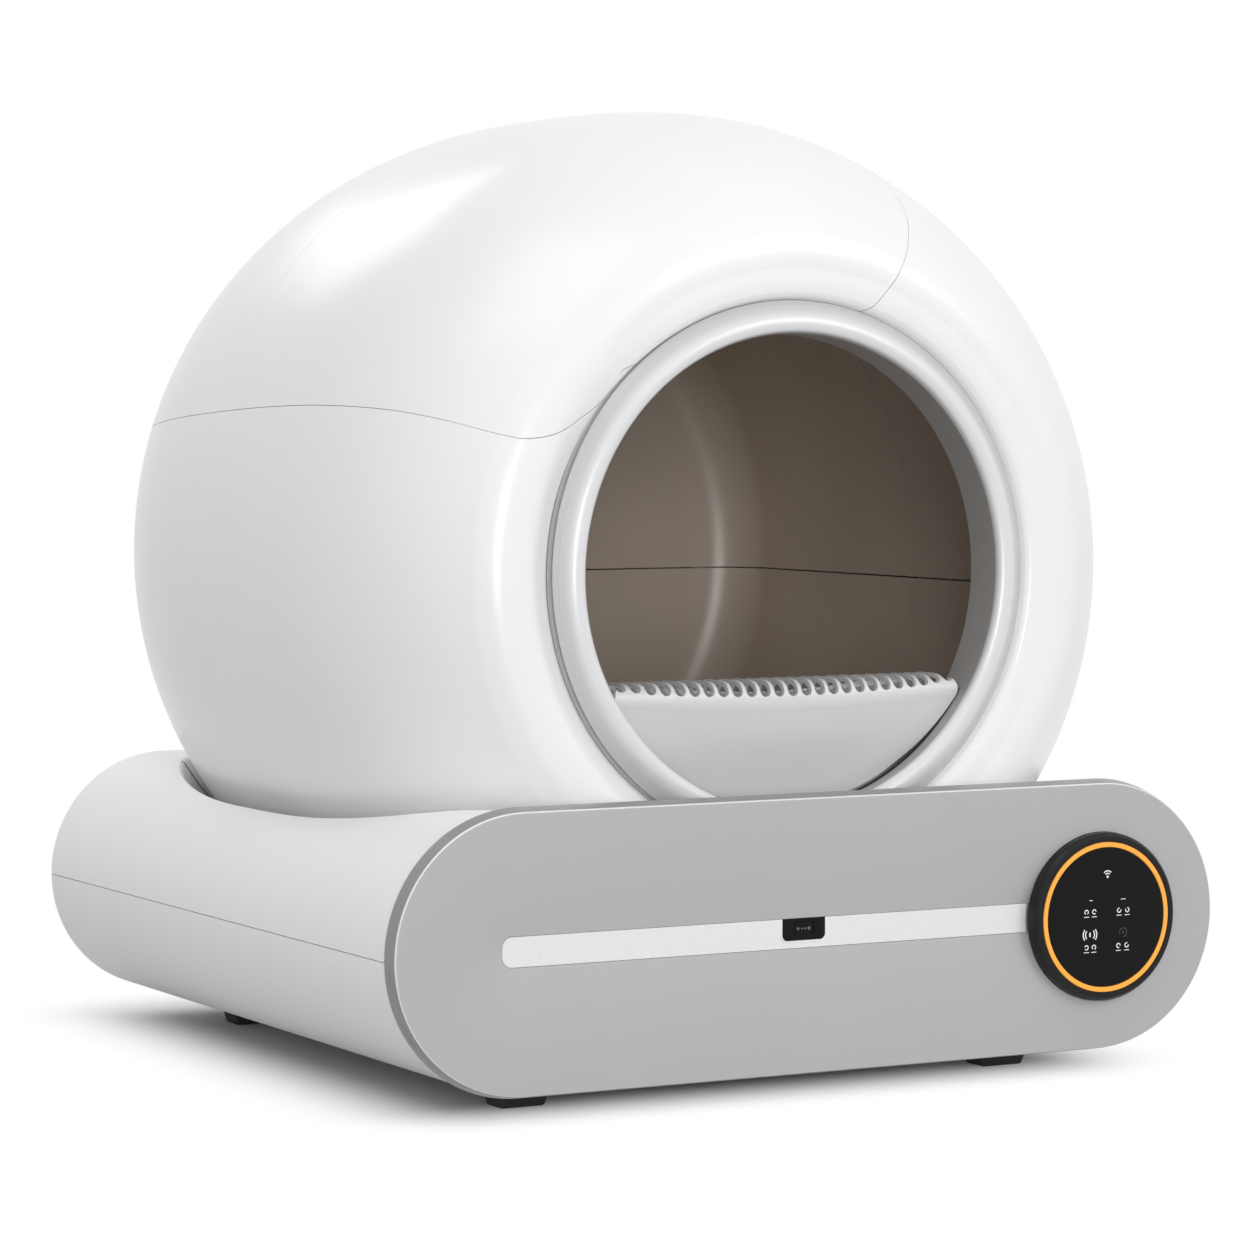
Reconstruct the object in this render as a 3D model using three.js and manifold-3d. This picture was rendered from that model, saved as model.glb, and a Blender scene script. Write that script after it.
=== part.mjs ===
// A self cleaning litter box: a globe housing in a capsule-shaped base, with a drum that turns
// inside the housing on rollers and a waste drawer below it.
// Millimetres, +Z up, +X to the right seen from the front, +Y towards the back.
// The origin is the centre of the footprint on the floor.
import * as THREE from 'three';
import { mergeVertices } from 'three/addons/utils/BufferGeometryUtils.js';
import Module from 'manifold-3d';

const wasm = await Module();
wasm.setup();

// Clearances
const seatGap = 0.3;
const seamGap = 0.5;
const mouthRunningGap = 3;
const cutOverrun = 12;

// Base
const panelWidth = 540;
const panelHeight = 154.1;
const bodyDepth = 520.8;
const footHeight = 18;
const shellWall = 3;

// Silver fascia on the front of the base
const fasciaThickness = 5.1;
const fasciaFlare = 3.1;
const fasciaBevelDepth = 3;
const inlayDepth = 2.2;

// Light bar, in a pocket of the fascia
const lightBarHeight = 16.8;
const lightBarRise = 2.1;
const lightBarLeftInset = 67.4;
const lightBarRightInset = 105;
const lightBarCorner = 6;

// Sensor window, in a notch of the light bar
const windowWidth = 27.9;
const windowHeight = 12.4;
const windowOffset = 10.65;
const windowCorner = 3.2;
const lensWidth = 13.3;
const lensHeight = 7.2;
const lensDepth = 1;
const lensDrop = 4.5;

// Control disc
const discRadius = 49.8;
const discProud = 6.9;
const discInset = 79.4;
const discRise = 0.7;
const discPocketDepth = 2.2;
const discPocketRadius = 44.6;
const lightRingOuter = 44.3;
const lightRingInner = 41;
const glassRadius = 40.7;
const discBossRadius = 20;
const discBossEnd = 12;

// Boards
const boardThickness = 1.6;
const displayBoardWidth = 70;
const displayBoardHeight = 56;
const mainBoardWidth = 90;
const mainBoardDepth = 62;
const mainBoardSideGap = 12;
const mainBoardDepthPlace = 32;
const mainBoardPostHeight = 6;
const mainBoardPostRadius = 3;
const mainBoardPostInset = 6;

// Feet
const footInwardShift = 22;
const footTopWidth = 35;
const footBottomWidth = 26;
const footTopDepth = 40;
const footBottomDepth = 31;
const frontFootDepth = 80;
const rearFootInset = 73.8;

// Load cells
const loadCellEdgeGap = 10.95;
const loadCellWidth = 26;
const loadCellLength = 50;
const loadCellHeight = 8;
const frontLoadCellDepth = 96;
const rearLoadCellInset = 72.8;
const loadCellSkirtGap = 5.4;

// Globe housing
const globeOverhang = 0.2;
const globeAxisLift = 4.3;
const globeSetback = 21.8;
const globeFrontReach = 8.5;
const globeRearReach = 70.1;
const globeFrontPower = 3.147;
const globeRearPower = 2.417;
const globeRearInset = 21.3;
const globeLiftStart = 43;
const globeLiftEnd = 160;
const housingWall = 3.5;
const housingBottomRise = 25;
const housingLipDepth = 43.2;
const housingLipLength = 5.8;
const girthSeamLead = 6.2;
const globeSegments = 40;
const frontArcSteps = 5;
const rearArcSteps = 4;
const frontArcEndAngle = 39.5;
const rearArcEndAngle = 57;

// Well in the base, around the globe
const wellGap = 11;
const wellWall = 3;
const wellLedgeThickness = 3.7;
const wellLedgeReach = 8;

// Drum
const drumHousingGap = 48.7;
const drumDeckGap = 6.1;
const drumWall = 3;
const drumRearGap = 31.5;
const drumFrontShoulderLength = 36;
const drumRearShoulderLength = 38;
const drumSeamDrop = 14;
const drumSeamLead = 14.45;
const drumSegments = 40;

// Waste port in the drum
const portAngle = 135;
const portWidth = 120;
const portSeamMargin = 16.3;
const portRearMargin = 70;

// Mouth ring
const mouthFaceWidth = 114.4;
const mouthRingWidth = 19.2;
const mouthRingProud = 16.6;
const mouthRingBulge = 8.2;
const throatWall = 3.4;

// Slotted lip across the bottom of the mouth
const lipRimHeight = 74.8;
const lipBottomGap = 0.8;
const lipSetback = 5.8;
const lipLength = 41.6;
const lipWall = 3;
const lipEndCut = 1.5;
const slotPitch = 9.1;
const slotWidth = 5.2;
const slotEndMargin = 9;
const slotFrontMargin = 2.2;
const slotBackMargin = 6;
const slotDepth = 8.5;

// Sieve inside the drum
const sieveAngle = 165;
const sieveThickness = 3;
const sieveWallGap = 1.2;
const sieveWidth = 93.8;
const sieveFrontMargin = 39.7;
const sieveRearMargin = 40;
const sieveBorder = 12;
const sieveBar = 6;
const sieveSlotCount = 20;

// Drive
const gearSetback = 47.7;
const gearWidth = 12;
const gearTeeth = 80;
const pinionTeeth = 10;
const gearRimHeight = 7;
const toothAddendum = 3.5;
const toothDedendum = 4.2;
const pinionDriveAngle = -60;
const gearMeshClearance = 0.6;
const gearBacklashShare = 0.42;
const toothTipShare = 0.46;
const toothRootShare = 1.42;
const shaftRadius = 4;
const motorRadius = 25;
const motorLength = 60;
const motorGearGap = 8;
const shaftInset = 14;
const shaftOverhang = 2;
const motorMountWidth = 44;
const motorMountInset = 12;
const motorMountTopDrop = 8;

// Rollers
const rollerRadius = 16;
const rollerWidth = 22;
const rollerFloorGap = 6.2646;
const frontRollerInset = 22;
const rearRollerMargin = 64;
const rollerBore = 3.3;
const axleRadius = 3;
const bracketCheek = 3;
const bracketWidth = 20;
const bracketBase = 4;
const bracketTopMargin = 5;

// Inner deck
const deckTopDrop = 18;
const deckThickness = 3;
const deckOverhang = 20;
const deckGearGap = 6;
const deckRearInset = 8.8;
const deckSkirtThickness = 3;
const chuteHalfWidth = 70;

// Waste drawer
const drawerFrontGap = 11;
const drawerRearInset = 20.3;
const drawerWall = 2.5;
const drawerTopDrop = 25;
const drawerSideGap = 0.5;
const drawerPanelTopDrop = 22.6;
const gripWidth = 120;
const gripHeight = 26;
const gripWall = 2;

// Power inlet
const inletWidth = 15.4;
const inletHeight = 12.4;
const inletLength = 16;
const inletInset = 55;
const inletRise = 20;
const inletSocketWidth = 9;
const inletSocketHeight = 7;
const inletSocketDepth = 10;

// Case screws
const screwInset = 65;
const frontScrewDepth = 45;
const rearScrewInset = 33.8;
const screwBossRadius = 6;
const screwHeadRadius = 4;
const screwHeadHeight = 3;
const screwShankRadius = 1.9;
const screwBoreRadius = 2.2;
const screwCounterboreRadius = 4.5;
const screwHeadDrop = 15;
const screwReach = 10;
const screwBoreEnd = 14;

// Round sections
const fineSides = 40;
const plainSides = 20;
const smallSides = 12;
const stadiumSteps = 8;

// Derived places
const degree = Math.PI / 180;
const overallDepth = bodyDepth + discProud;
const faceY = discProud - overallDepth / 2;
const baseMidZ = footHeight + panelHeight / 2;
const floorDrop = panelHeight / 2 - shellWall;
const shellFrontDepth = fasciaThickness + seatGap;

// Globe, drum and mouth, one inside the other
const globeRadius = panelWidth / 2 + globeOverhang;
const drumRadius = globeRadius - housingWall - drumHousingGap;
const mouthRingRadius = globeRadius - mouthFaceWidth;
const mouthRadius = mouthRingRadius - mouthRingWidth;
const housingHoleRadius = mouthRingRadius + mouthRunningGap;
const axisRise = drumRadius + drumDeckGap - deckTopDrop;
const axisZ = baseMidZ + axisRise;

// Depths of the globe and the drum, behind the face of the panel
const globeCentreDepth = bodyDepth / 2 + globeSetback;
const globeRearEnd = bodyDepth - globeRearInset;
const globeFrontLength = globeCentreDepth + globeFrontReach;
const globeRearLength = globeRearEnd - globeCentreDepth + globeRearReach;
const girthSeamDepth = globeCentreDepth - girthSeamLead;
const housingLipEnd = housingLipDepth + housingLipLength;
const mouthRingFrontDepth = housingLipDepth - mouthRingProud;
const mouthRingEdgeDepth = mouthRingFrontDepth + mouthRingBulge;
const mouthFlangeDepth = housingLipEnd + mouthRunningGap;
const throatEndDepth = mouthFlangeDepth + throatWall;
const drumFrontDepth = mouthFlangeDepth + seatGap;
const drumRearDepth = globeRearEnd - drumRearGap;
const drumSeamDepth = (drumFrontDepth + drumRearDepth) / 2 - drumSeamLead;
const portFrontDepth = drumSeamDepth + portSeamMargin;
const portRearDepth = drumRearDepth - portRearMargin;

// Lip and sieve, inside the mouth and the drum
const lipTopDrop = mouthRadius - lipRimHeight;
const lipHeight = lipRimHeight - lipBottomGap;
const lipFrontDepth = mouthRingFrontDepth + lipSetback;
const lipBackDepth = lipFrontDepth + lipLength;
const lipHalfWidth = Math.sqrt((mouthRadius - seatGap) ** 2 - lipTopDrop ** 2) - lipEndCut;
const slotFrontDepth = lipFrontDepth + slotFrontMargin;
const slotBackDepth = lipBackDepth - slotBackMargin;
const slotCount = 2 * Math.floor((lipHalfWidth + lipEndCut - slotEndMargin) / slotPitch) + 1;
const sieveOuterRadius = drumRadius - drumWall - sieveWallGap;
const sieveInnerRadius = sieveOuterRadius - sieveWidth;
const sieveFrontDepth = drumFrontDepth + sieveFrontMargin;
const sieveRearDepth = drumRearDepth - sieveRearMargin;

// Drive, from the drum's gear forwards to the motor
const gearPitchRadius = drumRadius + gearRimHeight;
const gearFrontDepth = drumFrontDepth + gearSetback;
const gearRearDepth = gearFrontDepth + gearWidth;
const motorRearDepth = gearFrontDepth - motorGearGap;
const motorFrontDepth = motorRearDepth - motorLength;
const motorMountFrontDepth = motorFrontDepth + motorMountInset;
const motorMountRearDepth = motorRearDepth - motorMountInset;

// Base: load cells on the flat of its floor, the drawer's bay between them, the deck over the bay
const loadCellOffset = (panelWidth - panelHeight) / 2 - loadCellEdgeGap;
const rearLoadCellDepth = bodyDepth - rearLoadCellInset;
const footOffset = loadCellOffset - footInwardShift;
const rearFootDepth = bodyDepth - rearFootInset;
const bayHalfWidth = loadCellOffset - loadCellWidth / 2 - loadCellSkirtGap - deckSkirtThickness;
const drawerHalfWidth = bayHalfWidth - 2 * seatGap;
const deckHalfWidth = drawerHalfWidth + deckOverhang;
const deckFrontDepth = gearRearDepth + deckGearGap;
const deckRearDepth = bodyDepth - deckRearInset;
const drawerFrontDepth = deckFrontDepth + deckSkirtThickness + drawerFrontGap;
const drawerRearDepth = bodyDepth - drawerRearInset;
const mainBoardOffset = loadCellOffset - (loadCellWidth + mainBoardWidth) / 2 - mainBoardSideGap;
const rollerRise = rollerRadius + rollerFloorGap + bracketBase + seatGap - deckTopDrop;
const rollerReach = drumRadius + rollerRadius + seatGap;
const rollerOffset = Math.sqrt(rollerReach ** 2 - (axisRise - rollerRise) ** 2);
const frontRollerDepth = deckFrontDepth + frontRollerInset;
const rearRollerDepth = drumRearDepth - rearRollerMargin;

// Places measured in from the ends of the panel and from the back
const lightBarLeft = panelWidth / 2 - lightBarLeftInset;
const lightBarRight = panelWidth / 2 - lightBarRightInset;
const discOffset = panelWidth / 2 - discInset;
const inletOffset = panelWidth / 2 - inletInset;
const screwOffset = panelWidth / 2 - screwInset;
const rearScrewDepth = bodyDepth - rearScrewInset;

const depthAt = (depth) => faceY + depth;
const riseAt = (rise) => baseMidZ + rise;

// Closed solids from three.js geometries
function signedVolume(position, index) {
  const [a, b, c] = [new THREE.Vector3(), new THREE.Vector3(), new THREE.Vector3()];
  let sum = 0;
  for (let i = 0; i < index.length; i += 3) {
    a.fromBufferAttribute(position, index[i]);
    b.fromBufferAttribute(position, index[i + 1]);
    c.fromBufferAttribute(position, index[i + 2]);
    sum += a.dot(b.cross(c));
  }
  return sum;
}

function solidOf(geometry) {
  const bare = geometry.clone();
  bare.deleteAttribute('normal');
  bare.deleteAttribute('uv');
  const merged = mergeVertices(bare);
  const index = merged.index.array;
  const kept = [];
  for (let i = 0; i < index.length; i += 3) {
    const [a, b, c] = [index[i], index[i + 1], index[i + 2]];
    if (a !== b && b !== c && c !== a) kept.push(a, b, c);
  }
  const inward = signedVolume(merged.attributes.position, kept) < 0;
  const triVerts = Uint32Array.from(inward ? kept.reverse() : kept);
  const vertProperties = Float32Array.from(merged.attributes.position.array);
  return new wasm.Manifold(new wasm.Mesh({ numProp: 3, vertProperties, triVerts }));
}

function geometryOf(solid) {
  const mesh = solid.getMesh();
  const geometry = new THREE.BufferGeometry();
  geometry.setAttribute('position', new THREE.BufferAttribute(mesh.vertProperties, 3));
  geometry.setIndex(new THREE.BufferAttribute(mesh.triVerts, 1));
  geometry.computeVertexNormals();
  return geometry;
}

function joined(solids) {
  return solids.reduce((sum, solid) => sum.add(solid));
}

function cut(solid, ...cutters) {
  return cutters.reduce((rest, cutter) => rest.subtract(cutter), solid);
}

// Basic bodies, placed in the frame of the part
function block(x0, x1, y0, y1, z0, z1) {
  const geometry = new THREE.BoxGeometry(x1 - x0, y1 - y0, z1 - z0);
  geometry.translate((x0 + x1) / 2, (y0 + y1) / 2, (z0 + z1) / 2);
  return solidOf(geometry);
}

function rodAlongY(radius, x, z, y0, y1, sides) {
  const geometry = new THREE.CylinderGeometry(radius, radius, y1 - y0, sides);
  geometry.translate(x, (y0 + y1) / 2, z);
  return solidOf(geometry);
}

function rodAlongZ(radius, x, y, z0, z1, sides) {
  const geometry = new THREE.CylinderGeometry(radius, radius, z1 - z0, sides);
  geometry.rotateX(Math.PI / 2);
  geometry.translate(x, y, (z0 + z1) / 2);
  return solidOf(geometry);
}

function prismAlongY(shape, y0, y1) {
  const options = { depth: y1 - y0, bevelEnabled: false, curveSegments: stadiumSteps };
  const geometry = new THREE.ExtrudeGeometry(shape, options);
  geometry.rotateX(Math.PI / 2);
  geometry.translate(0, y1, 0);
  return solidOf(geometry);
}

function prismAlongX(shape, x0, x1) {
  const options = { depth: x1 - x0, bevelEnabled: false };
  const geometry = new THREE.ExtrudeGeometry(shape, options);
  const axes = [new THREE.Vector3(0, 1, 0), new THREE.Vector3(0, 0, 1), new THREE.Vector3(1, 0, 0)];
  geometry.applyMatrix4(new THREE.Matrix4().makeBasis(...axes));
  geometry.translate(x0, 0, 0);
  return solidOf(geometry);
}

function polygon(points) {
  return new THREE.Shape(points.map(([u, v]) => new THREE.Vector2(u, v)));
}

// A body with one ring of corners after another, closed by a flat end at the first and the last
function loft(rings) {
  const count = rings[0].length;
  const corners = rings.flat();
  const positions = corners.flatMap((corner) => corner);
  const index = [];
  for (let ring = 0; ring + 1 < rings.length; ring += 1) {
    for (let i = 0; i < count; i += 1) {
      const [a, b] = [ring * count + i, ring * count + ((i + 1) % count)];
      index.push(a, b, b + count, a, b + count, a + count);
    }
  }
  const last = (rings.length - 1) * count;
  for (let i = 1; i + 1 < count; i += 1) {
    index.push(0, i + 1, i);
    index.push(last, last + i, last + i + 1);
  }
  const geometry = new THREE.BufferGeometry();
  geometry.setAttribute('position', new THREE.Float32BufferAttribute(positions, 3));
  geometry.setIndex(index);
  return solidOf(geometry);
}

function stadium(width, height) {
  const radius = height / 2;
  const arm = width / 2 - radius;
  const shape = new THREE.Shape();
  shape.absarc(arm, 0, radius, -Math.PI / 2, Math.PI / 2);
  shape.absarc(-arm, 0, radius, Math.PI / 2, 3 * Math.PI / 2);
  return shape;
}

function capsule(width, height, y0, y1) {
  return prismAlongY(stadium(width, height), y0, y1).translate([0, 0, baseMidZ]);
}

// A profile is a list of [radius, depth] pairs. It is offset square to itself by a distance.
function offsetProfile(profile, distance) {
  return profile.map(([radius, depth], i) => {
    const before = profile[Math.max(i - 1, 0)];
    const after = profile[Math.min(i + 1, profile.length - 1)];
    const first = new THREE.Vector2(radius - before[0], depth - before[1]).normalize();
    const second = new THREE.Vector2(after[0] - radius, after[1] - depth).normalize();
    const along = first.add(second);
    const isEnd = i === 0 || i === profile.length - 1;
    const reach = distance / (isEnd ? 1 : along.length() / 2);
    along.normalize();
    return [radius - along.y * reach, depth + along.x * reach];
  });
}

function turned(profile, segments) {
  const points = profile.map(([radius, depth]) => new THREE.Vector2(radius, depthAt(depth)));
  const geometry = new THREE.LatheGeometry(points, segments);
  geometry.translate(0, 0, axisZ);
  return geometry;
}

function ring(profile, segments) {
  return solidOf(turned([...profile, profile[0]], segments));
}

// The globe's sections are round, and their centres climb a little behind the mouth
function climbed(geometry) {
  const position = geometry.attributes.position;
  for (let i = 0; i < position.count; i += 1) {
    const depth = position.getY(i) - faceY;
    const lift = globeAxisLift * THREE.MathUtils.smoothstep(depth, globeLiftStart, globeLiftEnd);
    position.setZ(i, position.getZ(i) + lift);
  }
  return geometry;
}

function ellipsePoint(angle, length, power) {
  const along = Math.cos(angle) ** (2 / power);
  const across = Math.sin(angle) ** (2 / power);
  return [globeRadius * across, globeCentreDepth + length * along];
}

// Outline of the dish around the mouth, as shares of its width and of its lip's depth
const dishShares = [
  [0.790, 0.694],
  [0.593, 0.638],
  [0.334, 0.682],
  [0.113, 0.819],
];

// Outline of the rounded back, as shares of the globe's radius and of its rear end's depth
const rearShares = [
  [0.8, 0.952],
  [0.7, 0.983],
  [0.54, 1],
];

function globeFront() {
  const points = [[globeRadius, girthSeamDepth]];
  for (let step = 1; step <= frontArcSteps; step += 1) {
    const angle = 90 - (90 - frontArcEndAngle) * step / frontArcSteps;
    points.push(ellipsePoint(angle * degree, -globeFrontLength, globeFrontPower));
  }
  return points;
}

function globeDish() {
  const arcEnd = globeFront().pop()[0];
  return dishShares.map(([across, along]) =>
    [THREE.MathUtils.lerp(housingHoleRadius, arcEnd, across), housingLipDepth * along]);
}

function globeRear() {
  const points = [[globeRadius, girthSeamDepth], [globeRadius, globeCentreDepth]];
  for (let step = 1; step <= rearArcSteps; step += 1) {
    const angle = 90 - (90 - rearArcEndAngle) * step / rearArcSteps;
    points.push(ellipsePoint(angle * degree, globeRearLength, globeRearPower));
  }
  const round = rearShares.map(([across, along]) => [globeRadius * across, globeRearEnd * along]);
  return [...points, ...round];
}

// The whole globe, grown by a distance, without its mouth
function grownGlobe(distance) {
  const crest = globeDish()[1];
  const front = [...globeFront(), crest].reverse();
  const outline = [[0, crest[1]], ...front, ...globeRear().slice(1), [0, globeRearEnd]];
  const grown = offsetProfile(outline, -distance);
  grown[0][0] = 0;
  grown[grown.length - 1][0] = 0;
  return solidOf(climbed(turned(grown, globeSegments)));
}

// Housing: four shells, split at the girth seam and along the cover's edge
const coverEdgeShares = [
  [-1.1, 0.301],
  [-0.94, 0.309],
  [-0.86, 0.309],
  [-0.796, 0.291],
  [-0.724, 0.267],
  [-0.672, 0.251],
  [-0.626, 0.247],
  [-0.584, 0.251],
  [-0.534, 0.273],
  [-0.48, 0.355],
  [-0.4, 0.42],
  [0.06, 0.53],
  [0.158, 0.538],
  [0.202, 0.564],
  [0.248, 0.6],
  [0.29, 0.638],
  [0.328, 0.682],
  [0.358, 0.728],
  [0.38, 0.788],
  [0.384, 0.86],
  [0.384, 1.2],
  [-1.1, 1.2],
];

function coverRegion(gap) {
  const centreZ = axisZ + globeAxisLift;
  const outline = coverEdgeShares.map(([u, v]) => [globeRadius * u - gap, centreZ + globeRadius * v + gap]);
  return prismAlongY(polygon(outline), depthAt(-cutOverrun), depthAt(bodyDepth));
}

function housingFrontShell() {
  const outer = globeFront();
  const dish = globeDish();
  const lip = [[housingHoleRadius, housingLipDepth], [housingHoleRadius, housingLipEnd]];
  const skin = [...outer, ...dish, lip[0]];
  const inside = offsetProfile(skin, -housingWall).slice(0, -1);
  inside[0] = [globeRadius - housingWall, girthSeamDepth];
  inside.push([housingHoleRadius + housingWall, housingLipEnd]);
  return solidOf(climbed(turned([...skin, lip[1], ...inside.reverse(), skin[0]], globeSegments)));
}

function housingRearShell() {
  const skin = [...globeRear(), [0, globeRearEnd]];
  const inside = offsetProfile(skin, housingWall);
  inside[0] = [globeRadius - housingWall, girthSeamDepth];
  inside[inside.length - 1] = [0, globeRearEnd - housingWall];
  return solidOf(climbed(turned([...skin, ...inside.reverse(), skin[0]], globeSegments)));
}

function housingPieces() {
  const reach = globeRadius + cutOverrun;
  const below = block(-reach, reach, depthAt(-reach), depthAt(bodyDepth + reach),
    axisZ - reach, riseAt(housingBottomRise));
  const seamSlot = block(-reach, reach, depthAt(girthSeamDepth - seamGap / 2),
    depthAt(girthSeamDepth + seamGap / 2), axisZ - reach, axisZ + reach);
  const front = cut(housingFrontShell(), below, seamSlot);
  const rear = cut(housingRearShell(), below, seamSlot);
  const lid = coverRegion(seamGap / 2);
  const lidSpace = coverRegion(-seamGap / 2);
  return {
    frontShell: front.subtract(lidSpace),
    rearShell: rear.subtract(lidSpace),
    frontCover: front.intersect(lid),
    rearCover: rear.intersect(lid),
  };
}

// Base shells, with the well for the globe in the upper one
function screwPlaces() {
  const sides = [-screwOffset, screwOffset];
  return sides.flatMap((x) => [[x, depthAt(frontScrewDepth)], [x, depthAt(rearScrewDepth)]]);
}

function hollowBase() {
  const inside = capsule(panelWidth - 2 * shellWall, panelHeight - 2 * shellWall,
    depthAt(shellFrontDepth + shellWall), depthAt(bodyDepth - shellWall));
  const discHole = rodAlongY(discBossRadius + seatGap, discOffset, riseAt(discRise),
    depthAt(0), depthAt(shellFrontDepth + cutOverrun), plainSides);
  return cut(baseBlock(), inside, discHole);
}

function baseBlock() {
  return capsule(panelWidth, panelHeight, depthAt(shellFrontDepth), depthAt(bodyDepth));
}

function slab(fromRise, toRise) {
  const reach = panelWidth;
  return block(-reach, reach, -reach, reach, riseAt(fromRise), riseAt(toRise));
}

function upperShell() {
  const ledgeRise = housingBottomRise - seatGap;
  const ledgeBottom = ledgeRise - wellLedgeThickness;
  const bowl = grownGlobe(wellGap + wellWall).intersect(slab(ledgeBottom, panelHeight));
  const bosses = screwPlaces().map(([x, y]) =>
    rodAlongZ(screwBossRadius, x, y, riseAt(seatGap / 2), riseAt(panelHeight / 2), smallSides));
  const bores = screwPlaces().map(([x, y]) =>
    rodAlongZ(screwBoreRadius, x, y, riseAt(-screwReach), riseAt(screwBoreEnd), smallSides));
  const filled = joined([bowl, ...bosses]).intersect(baseBlock()).add(hollowBase());
  const well = grownGlobe(wellGap).intersect(slab(ledgeRise, panelHeight));
  const opening = grownGlobe(-wellLedgeReach).intersect(slab(ledgeBottom - cutOverrun, panelHeight));
  const inlet = block(-inletOffset - inletWidth / 2 - seatGap, -inletOffset + inletWidth / 2 + seatGap,
    depthAt(bodyDepth - shellWall - cutOverrun), depthAt(bodyDepth + cutOverrun),
    riseAt(inletRise - inletHeight / 2 - seatGap), riseAt(inletRise + inletHeight / 2 + seatGap));
  return cut(filled.intersect(slab(seatGap / 2, panelHeight)), well, opening, inlet, ...bores);
}

function lowerShell() {
  const bottom = -floorDrop;
  const bosses = screwPlaces().map(([x, y]) =>
    rodAlongZ(screwBossRadius, x, y, riseAt(-panelHeight / 2), riseAt(-seatGap / 2), smallSides));
  const posts = mainBoardPosts().map(([x, y]) =>
    rodAlongZ(mainBoardPostRadius, x, y, riseAt(bottom - shellWall / 2), riseAt(bottom + mainBoardPostHeight),
      smallSides));
  const bores = screwPlaces().map(([x, y]) =>
    rodAlongZ(screwBoreRadius, x, y, riseAt(-panelHeight), riseAt(cutOverrun), smallSides));
  const counterbores = screwPlaces().map(([x, y]) =>
    rodAlongZ(screwCounterboreRadius, x, y, riseAt(-panelHeight), riseAt(-screwHeadDrop + screwHeadHeight),
      smallSides));
  const drawerHole = block(-drawerHalfWidth - drawerSideGap, drawerHalfWidth + drawerSideGap,
    depthAt(bodyDepth - shellWall - cutOverrun), depthAt(bodyDepth + cutOverrun),
    riseAt(bottom), riseAt(-drawerPanelTopDrop + drawerSideGap));
  const whole = joined([...bosses, ...posts]).intersect(baseBlock()).add(hollowBase());
  return cut(whole.intersect(slab(-panelHeight, -seatGap / 2)), drawerHole, ...bores, ...counterbores);
}

function mainBoardPosts() {
  const halfWidth = mainBoardWidth / 2 - mainBoardPostInset;
  const xs = [-mainBoardOffset - halfWidth, -mainBoardOffset + halfWidth];
  const ys = [mainBoardDepthPlace + mainBoardPostInset,
    mainBoardDepthPlace + mainBoardDepth - mainBoardPostInset];
  return xs.flatMap((x) => ys.map((depth) => [x, depthAt(depth)]));
}

function caseScrew([x, y]) {
  const head = rodAlongZ(screwHeadRadius, x, y, riseAt(-screwHeadDrop),
    riseAt(-screwHeadDrop + screwHeadHeight - seatGap), smallSides);
  const shank = rodAlongZ(screwShankRadius, x, y, riseAt(-screwHeadDrop), riseAt(screwReach), smallSides);
  return head.add(shank);
}

// Front panel
function stadiumRing(width, height, depth) {
  const outline = stadium(width, height).getPoints(stadiumSteps);
  return outline.slice(0, -1).map((point) => [point.x, depthAt(depth), riseAt(point.y)]);
}

function lightBarShape(grow) {
  const [left, right] = [-lightBarLeft - grow, lightBarRight + grow];
  const [bottom, top] = [lightBarRise - lightBarHeight / 2 - grow, lightBarRise + lightBarHeight / 2 + grow];
  const corner = lightBarCorner + grow;
  const shape = new THREE.Shape();
  shape.moveTo(right, bottom);
  shape.lineTo(right, top);
  shape.lineTo(left + corner, top);
  shape.absarc(left + corner, top - corner, corner, Math.PI / 2, Math.PI);
  shape.absarc(left + corner, bottom + corner, corner, Math.PI, 3 * Math.PI / 2);
  return shape;
}

function inlay(shape, depth) {
  return prismAlongY(shape, depthAt(0), depthAt(depth)).translate([0, 0, baseMidZ]);
}

function fasciaPanel() {
  const rings = [
    stadiumRing(panelWidth, panelHeight, 0),
    stadiumRing(panelWidth + 2 * fasciaFlare, panelHeight + 2 * fasciaFlare, fasciaBevelDepth),
    stadiumRing(panelWidth + 2 * fasciaFlare, panelHeight + 2 * fasciaFlare, fasciaThickness),
  ];
  const pocket = inlay(lightBarShape(seatGap), inlayDepth + seatGap)
    .add(inlay(lightBarShape(seatGap), inlayDepth).translate([0, -inlayDepth / 2, 0]));
  const bossHole = rodAlongY(discBossRadius + seatGap, discOffset, riseAt(discRise),
    depthAt(-cutOverrun), depthAt(fasciaThickness + cutOverrun), plainSides);
  return cut(loft(rings), pocket, bossHole);
}

function windowTop() {
  return lightBarRise + lightBarHeight / 2;
}

function windowShape(grow) {
  const [left, right] = [-windowOffset - windowWidth / 2 - grow, -windowOffset + windowWidth / 2 + grow];
  const [bottom, top] = [windowTop() - windowHeight - grow, windowTop() + grow];
  const corner = windowCorner + grow;
  const shape = new THREE.Shape();
  shape.moveTo(right, top);
  shape.lineTo(left, top);
  shape.absarc(left + corner, bottom + corner, corner, Math.PI, 3 * Math.PI / 2);
  shape.absarc(right - corner, bottom + corner, corner, -Math.PI / 2, 0);
  return shape;
}

function lightBar() {
  const notch = inlay(windowShape(seatGap), inlayDepth).translate([0, -inlayDepth / 2, 0])
    .add(inlay(windowShape(seatGap), inlayDepth + seatGap));
  return inlay(lightBarShape(0), inlayDepth).subtract(notch);
}

function lensBlock(grow, depth) {
  const centreZ = riseAt(windowTop() - lensDrop);
  return block(-windowOffset - lensWidth / 2 - grow, -windowOffset + lensWidth / 2 + grow,
    depthAt(-grow), depthAt(depth), centreZ - lensHeight / 2 - grow, centreZ + lensHeight / 2 + grow);
}

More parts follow.
